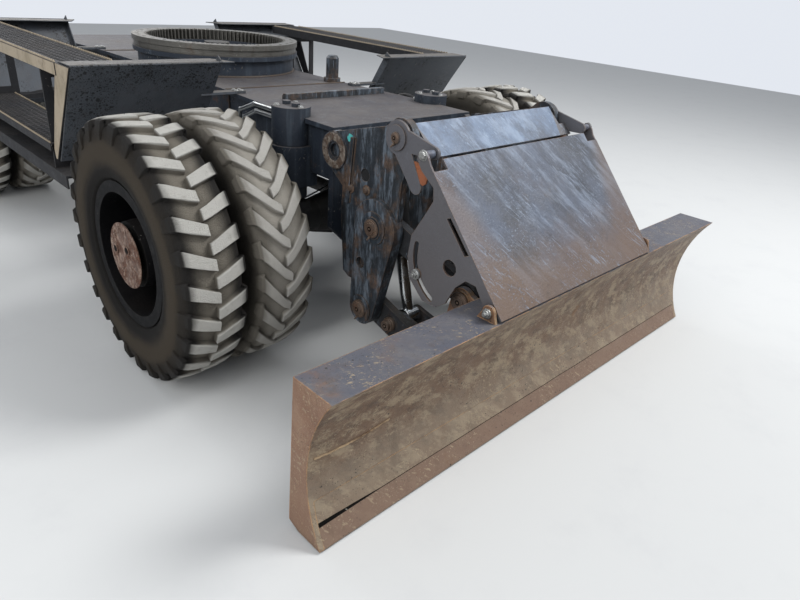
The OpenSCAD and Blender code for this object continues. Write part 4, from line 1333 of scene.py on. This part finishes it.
@dataclass
class BladeDress:
    """Pin caps, foot bolts, welds and the open seam, as a strip of painted shade, of the dozer blade."""

    pins: Linkage = LINKAGE
    half: float = 1.25
    rim: float = 0.021
    crease_z: float = 0.305
    crease_sag: float = 0.012
    crease_long: float = 0.30
    seam_z: float = 0.077
    seam_gap: Point = (0.0011, 0.013)
    seam_open: float = 0.25
    face_centre: Point = (-1.7, 0.265)
    face_r: float = 0.51
    rib_x: tuple[float, ...] = (0.15, 0.162, 0.72, 0.732, 0.99, 1.002)
    rib: tuple[Point, Point] = ((-1.117, 0.19), (-1.149, 0.399))
    end_top: tuple[Point, Point] = ((-1.28, 0.559), (-1.124, 0.559))
    ear_x: tuple[float, ...] = (0.365, 0.39, 0.435, 0.46)
    ear: tuple[Point, Point] = ((-1.12, 0.5595), (-1.19, 0.5595))
    foot: Point = (-1.1165, 0.19)
    nut: Point = (-1.1675, 0.112)
    nuts_in: float = 0.12
    nut_count: int = 12

    def face(self, x: float, z: float, proud: float = 0.0) -> Vector:
        """Triple on the curved face at a height, raised off it."""
        reach = self.face_r - proud
        return at(x, self.face_centre[0] + math.sqrt(reach**2 - (z - self.face_centre[1]) ** 2), z)

    def build(self) -> None:
        """Builds the pieces."""
        caps, hole_shade, bolts = Shape(), Shape(), Shape()
        for pin in (self.pins.low_pin, self.pins.high_pin):
            PinCap().add(caps, hole_shade, self.pins.blade_pin_end, pin)
        for side in SIDES:
            seat, out = at(side * self.pins.foot_out, *self.pins.foot), X_AXIS * side
            bolts.bolt(seat - out * 0.001, out, 0.014)
            bolts.bar(seat, out, 0.008, 0.017, 0.0075, 12)
        caps.piece("blade_pin_caps", "pin_rust", "blade", bevel=0.001)
        hole_shade.piece("blade_pin_socket_shade", "painted_shade_black", "blade")
        bolts.piece("foot_bolts", "bolt_steel", "blade", bevel=0.0008)
        self.welds()
        self.crease()
        self.seam()
        self.nuts()

    def welds(self) -> None:
        """Weld beads behind the blade."""
        shape = Shape()
        for x in self.rib_x:
            shape.welds(x, self.rib, 0.004)
        for x in self.ear_x:
            shape.welds(x, self.ear, 0.004)
        shape.welds(self.half - self.rim, self.end_top, 0.005)
        shape.weld(*(at(side * (self.half - 0.02), *self.foot) for side in SIDES), 0.005)
        shape.piece("blade_welds", "weld_dark", "blade")

    def crease(self) -> None:
        """Crease that runs in from the right end of the face, a pale tube coloured as a painted highlight on
        its ridge.
        """
        shape = Shape()
        steps = 44
        line = []
        for i in range(steps + 1):
            share = i / steps
            wander = 0.003 * noise.noise(Vector((share * 14, 2.0, 0.0)))
            z = self.crease_z + self.crease_sag * (2 * share - 1) ** 2 + wander
            line.append(self.face(-self.half + 0.022 + self.crease_long * share, z, 0.0005))
        shape.tube(line, 0.0032, 8, 0.4)
        # pale colour: painted highlight along the crease
        shape.piece("face_crease", "crease_highlight", "blade")

    def seam(self) -> None:
        """Strip of painted shade for the seam over the worn lower plate, wider where the seam opens at the
        blade's right end.
        """
        shape = Shape()
        steps = 60
        rows = []
        start, end = self.rim - self.half, self.half - self.rim
        for i in range(steps + 1):
            x = start + (end - start) * (i / steps) ** 2
            gap = self.seam_gap[0] + self.seam_gap[1] * max(0.0, 1 - (x - start) / self.seam_open) ** 0.8
            middle = self.seam_z + 0.0015 * noise.noise(Vector((x * 6, 1.0, 0.0)))
            low, high = middle - gap * 0.35, middle + gap * 0.65
            corners = ((low, 0.001), (high, 0.001), (high, -0.003), (low, -0.003))
            rows.append(shape.ring([self.face(x, z, proud) for z, proud in corners]))
        shape.solid(rows)
        # near-black strip of painted shade where the open seam is
        shape.piece("face_seam_shade", "painted_shade_black", "blade")

    def nuts(self) -> None:
        """Nuts of the cutting edge's bolts, behind its foot."""
        shape = Shape()
        start = self.nuts_in - self.half
        for i in range(self.nut_count):
            shape.bolt(at(start - 2 * start * i / (self.nut_count - 1), *self.nut), Y_AXIS, 0.015)
        shape.piece("edge_nuts", "pin_rust", "blade", bevel=0.0008)


@dataclass
class StepsDress:
    """Raised dimples, saw-tooth edges and cream stringers of the steps."""

    treads: tuple[tuple[float, Point, Point], ...] = (
        (1.157, (0.965, 1.195), (0.58, 2.22)), (0.79, (0.995, 1.207), (0.77, 2.03))
    )
    pitch: float = 0.036
    row_pitch: float = 0.0288
    tooth: float = 0.022
    dimple: tuple[Point, ...] = ((0.0135, -0.0005), (0.0095, 0.0038), (0.0055, 0.0038), (0.004, -0.0005))
    end_x: float = 1.1966
    end: tuple[Point, ...] = (
        (0.426, 1.1555), (0.572, 1.1555), (0.597, 1.106), (0.762, 0.766), (0.755, 0.724), (0.739, 0.724)
    )
    fold_x: float = 1.2003
    fold: tuple[Point, ...] = ((0.576, 1.1075), (0.576, 1.1555), (2.224, 1.1555), (2.224, 1.1075))
    skin: float = 0.0012

    def build(self) -> None:
        """Builds the pieces on both sides."""
        for side, label in zip(SIDES, ("right", "left")):
            dimples, teeth, stringers = Shape(), Shape(), Shape()
            for z, xs, ys in self.treads:
                self.dimples(dimples, side, z, xs, ys)
                for x in xs:
                    self.saw(teeth, side * x, z, ys)
            mirrored = [(WHEELBASE - y, z) for y, z in self.end]
            for x, outline in ((self.end_x, self.end), (self.end_x, mirrored), (self.fold_x, self.fold)):
                stringers.plate(outline, side * x, side * (x + self.skin))
            dimples.piece(f"step_dimples_{label}", "step_black", "chassis")
            teeth.piece(f"step_teeth_{label}", "step_cream", "chassis")
            stringers.piece(f"step_stringers_{label}", "step_cream", "chassis")

    def dimples(self, shape: Shape, side: int, z: float, xs: Point, ys: Point) -> None:
        """Rows of raised rings that every other row shifts by half a pitch."""
        rows = int((xs[1] - xs[0] - 0.03) / self.row_pitch)
        per_row = int((ys[1] - ys[0] - 0.04) / self.pitch)
        for i in range(rows + 1):
            x = side * (xs[0] + 0.018 + i * self.row_pitch)
            for k in range(per_row):
                y = ys[0] + 0.03 + (k + 0.5 * (i % 2)) * self.pitch
                hoops = [hoop(at(x, y, z + h), [r] * 10, X_AXIS, Y_AXIS) for r, h in self.dimple]
                shape.skin([shape.ring(points) for points in hoops])

    def saw(self, shape: Shape, x: float, z: float, ys: Point) -> None:
        """Saw-tooth strip along a tread's edge."""
        count = int((ys[1] - ys[0]) / self.tooth)
        outline: list[Point] = [(ys[1], z - 0.004), (ys[0], z - 0.004)]
        for k in range(count):
            start = ys[0] + k * self.tooth
            outline += [(start, z + 0.002), (start + self.tooth * 0.5, z + 0.009)]
        outline.append((ys[0] + count * self.tooth, z + 0.002))
        shape.plate(outline, x - 0.002, x + 0.002)


@dataclass
class FrameDress:
    """Welds, bolts, fittings and hoses of the frame, the locks and the centre joint."""

    slew_y: float = WHEELBASE / 2
    deck_z: float = 1.0
    seams: Point = (0.65, 2.15)
    seam_half: float = 0.388
    box_x: float = 0.3715
    box_z: Point = (0.77, 0.978)
    pedestal_r: float = 0.457
    lock: Triple = (0.445, 0.012, 1.0405)
    lock_bolt_r: float = 0.062
    lock_ports: tuple[Point, ...] = ((0.966, 0.0), (0.996, 0.02))
    port_y: float = 0.097
    stay_x: Point = (0.365, 0.395)
    stay_y: Point = (0.537, 0.563)
    stay_z: float = 1.012
    joint: Point = (0.135, 0.79)
    elbow: Point = (0.11, 0.99)
    cylinder_path: tuple[Triple, ...] = (
        (0.29, -0.405, 0.74), (0.29, -0.43, 0.74), (0.29, -0.462, 0.72), (0.31, -0.475, 0.66),
        (0.318, -0.49, 0.58),
    )

    def build(self) -> None:
        """Builds the pieces."""
        self.welds()
        self.locks()
        self.centre()
        self.stays()
        self.cylinder_hoses()

    def welds(self) -> None:
        """Weld beads across the deck, round the pedestal and down the box."""
        shape = Shape()
        for y in self.seams:
            shape.weld(*(at(side * self.seam_half, y, self.deck_z) for side in SIDES), 0.005)
            shape.welds(self.box_x, ((y, self.box_z[0]), (y, self.box_z[1])), 0.005)
        middle = at(0, self.slew_y, self.deck_z + 0.002)
        ring = hoop(middle, [self.pedestal_r] * 300, X_AXIS, Y_AXIS)
        shape.bead([*ring, ring[0]], 0.006)
        shape.piece("frame_welds", "weld_dark", "chassis")

    def locks(self) -> None:
        """Fittings and bleed screws on the lock cylinders, and the hoses of the left one."""
        steel, rubber = Shape(), Shape()
        x, y, top = self.lock
        for side in SIDES:
            for angle in (35, 155, 275):
                t = math.radians(angle)
                spot = at(side * x + self.lock_bolt_r * math.cos(t), y + self.lock_bolt_r * math.sin(t), top)
                steel.bolt(spot, Z_AXIS, 0.011)
            for z, _ in self.lock_ports:
                seat = at(side * x, self.port_y - 0.004, z)
                steel.bar(seat, Y_AXIS, 0.0, 0.022, 0.015, 6)
                steel.bar(seat, Y_AXIS, 0.02, 0.034, 0.0125, 6)
        for z, drop in self.lock_ports:
            start = at(x, self.port_y + 0.03, z)
            falls = ((0, 0, 0), (0, 0.09, 0.004), (-0.015, 0.19, -0.03 - drop))
            falls += ((-0.05, 0.26, -0.09 - drop), (-0.1, 0.28, -0.13 - drop))
            rubber.tube(smooth([start + Vector(fall) for fall in falls]), 0.010)
        steel.piece("lock_fittings", "bolt_steel", "chassis", bevel=0.0008)
        rubber.piece("lock_hoses", "hose_black", "chassis")

    def centre(self) -> None:
        """Hoses and bolts of the centre joint inside the slewing ring."""
        hoses, fittings = Shape(), Shape()
        r, top = self.joint
        for t in turns(8, 0.5):
            fittings.bolt(at(r * math.cos(t), self.slew_y + r * math.sin(t), top), Z_AXIS, 0.012)
        r, top = self.elbow
        for t in turns(4, 0.5):
            out = Vector((math.cos(t), math.sin(t), 0))
            start = at(r * out.x, self.slew_y + r * out.y, top)
            fittings.bar(start, out, -0.002, 0.03, 0.015, 6)
            for shift in SIDES:
                first = start + Vector((-out.y, out.x, 0)) * 0.015 * shift + out * 0.005
                falls = ((0, 0), (0.07, 0.005), (0.115, 0.05), (0.13, 0.12), (0.135, 0.228))
                hoses.tube(smooth([first + out * away - Z_AXIS * down for away, down in falls]), 0.0105)
        fittings.piece("centre_fittings", "bolt_steel", "chassis", bevel=0.0008)
        hoses.piece("centre_hoses", "hose_black", "chassis")

    def stays(self) -> None:
        """Bolts through the fenders' stays."""
        shape = Shape()
        for side in SIDES:
            for y in (*self.stay_y, *(WHEELBASE - y for y in self.stay_y)):
                for x in self.stay_x:
                    shape.bolt(at(side * x, y, self.stay_z), Z_AXIS, 0.0085)
        shape.piece("stay_bolts", "bolt_steel", "chassis", bevel=0.0008)

    def cylinder_hoses(self) -> None:
        """Hoses from the frame's end plate to the blade cylinders' upper ports."""
        shape = Shape()
        for side in SIDES:
            for shift in (0.0, 0.05):
                line = []
                for x, y, z in self.cylinder_path:
                    inward = shift if x == self.cylinder_path[0][0] else 0.0
                    line.append(at(side * (x - inward), y, z - shift))
                shape.tube(smooth(line), 0.0095)
        shape.piece("cylinder_hoses", "hose_black", "chassis")


@dataclass
class AxleDress:
    """Cover bolts and brake lines of both axles."""

    axle_z: float = 0.525
    cover_r: float = 0.083
    cover_y: float = 0.156
    bolts: int = 12
    line_y: float = 0.05
    line: tuple[Point, ...] = ((0.10, 0.133), (0.16, 0.125), (0.26, 0.092), (0.36, 0.068), (0.50, 0.066))

    def build(self) -> None:
        """Builds the pieces."""
        bolts, lines = Shape(), Shape()
        for y0, ahead in ((0.0, -1), (WHEELBASE, 1)):
            for t in turns(self.bolts, 0.5):
                x, z = self.cover_r * math.cos(t), self.axle_z + self.cover_r * math.sin(t)
                bolts.bolt(at(x, y0 + ahead * self.cover_y, z), Y_AXIS * ahead, 0.009)
            y = y0 - self.line_y * ahead
            for side in SIDES:
                lines.tube(smooth([at(side * x, y, self.axle_z + z) for x, z in self.line]), 0.004, 8)
        bolts.piece("axle_bolts", "pin_rust", "chassis", bevel=0.0006)
        lines.piece("brake_lines", "pipe_steel", "chassis")


@dataclass
class Studio:
    """Camera at the photograph's viewpoint, plain floor and soft light."""

    place: Triple = (-2.0953, -2.301, 1.5634)
    yaw: float = 0.8125
    pitch: float = 0.4716
    roll: float = 0.0869
    lens: float = 28.226
    reach: float = 14.0

    def camera(self) -> None:
        """Makes the scene's camera."""
        data = bpy.data.cameras.new("camera")
        data.lens = self.lens
        data.sensor_width = 36.0
        made = place_object("camera", data)
        level = Vector((math.cos(self.yaw), -math.sin(self.yaw), 0))
        flat = Vector((math.sin(self.yaw), math.cos(self.yaw), 0))
        ahead = flat * math.cos(self.pitch) - Z_AXIS * math.sin(self.pitch)
        above = level.cross(ahead)
        right = level * math.cos(self.roll) + above * math.sin(self.roll)
        up = -level * math.sin(self.roll) + above * math.cos(self.roll)
        turned = Matrix((right, up, -ahead)).transposed().to_4x4()
        made.matrix_world = Matrix.Translation(at(*self.place)) @ turned
        bpy.context.scene.camera = made

    def lamp(self, name: str, place: Triple, size: float, power: float) -> None:
        """Adds a soft square lamp that points at the object's middle.

        Args:
            name: its name.
            place: where it hangs.
            size: its side in metres.
            power: its power in watts.
        """
        data = bpy.data.lights.new(name, "AREA")
        data.size = size
        data.energy = power
        made = place_object(name, data)
        made.location = place
        made.rotation_euler = (Vector((0, 0, 0.5)) - Vector(place)).to_track_quat("-Z", "Y").to_euler()

    def floor(self) -> None:
        """Lays the floor."""
        data = bpy.data.meshes.new("floor")
        corners = [(x * self.reach, y * self.reach, 0.0) for x, y in ((-1, -1), (1, -1), (1, 1), (-1, 1))]
        data.from_pydata(corners, [], [(0, 1, 2, 3)])
        data.materials.append(PalePlain().make())
        made = place_object("floor", data)

    def world(self) -> None:
        """Pale surroundings, white to the camera and in reflections."""
        made = bpy.data.worlds.new("sky")
        bpy.context.scene.world = made
        made.use_nodes = True
        g = Graph(made.node_tree)
        path = g.add("ShaderNodeLightPath").outputs
        seen = g.math("MAXIMUM", path["Is Camera Ray"], g.times(path["Is Glossy Ray"], 0.7))
        seen = g.math("MAXIMUM", seen, path["Is Transmission Ray"])
        back = g.put("ShaderNodeBackground", (0.86, 0.9, 0.97, 1), g.plus(0.55, g.times(seen, 0.35)))
        g.feed(g.add("ShaderNodeOutputWorld").inputs["Surface"], back[0])

    def build(self) -> None:
        """Sets up the whole studio."""
        bpy.context.scene.view_settings.view_transform = "Standard"
        self.camera()
        self.floor()
        self.world()
        self.lamp("key", (3.5, -4.5, 6.5), 3.0, 520)
        self.lamp("fill", (-5.5, -3.0, 4.0), 4.0, 200)
        self.lamp("back", (0.0, 6.0, 5.0), 4.0, 200)


def dress_frame() -> None:
    """Gives every CAD node that stays the finish of its slot, or its own."""
    slots = {part["node"]: part["material_slot"] for part in frame["record"]["subparts"]}
    for name, made in frame["nodes"].items():
        made.data.materials.clear()
        made.data.materials.append(PAINTS.get(OWN_FINISH.get(name, slots[name])))
        for face in made.data.polygons:
            face.material_index = 0
        LOG.info("dressed %s", name)


def main() -> None:
    """Builds the studio, then each sub-assembly in order."""
    logging.basicConfig(level=logging.INFO, format="%(name)s: %(message)s")
    Studio().build()
    dress_frame()
    for tread in Tread:
        tyre = Tyre(tread)
        data = tyre.build()
        for corner in CORNERS:
            tyre.dress(data, corner)
    for corner in CORNERS:
        Hub().build(corner)
    for assembly in (BracketDress(), GuardDress(), BladeDress(), StepsDress(), FrameDress(), AxleDress()):
        LOG.info("building %s", type(assembly).__name__)
        assembly.build()


if __name__ == "__main__":
    main()
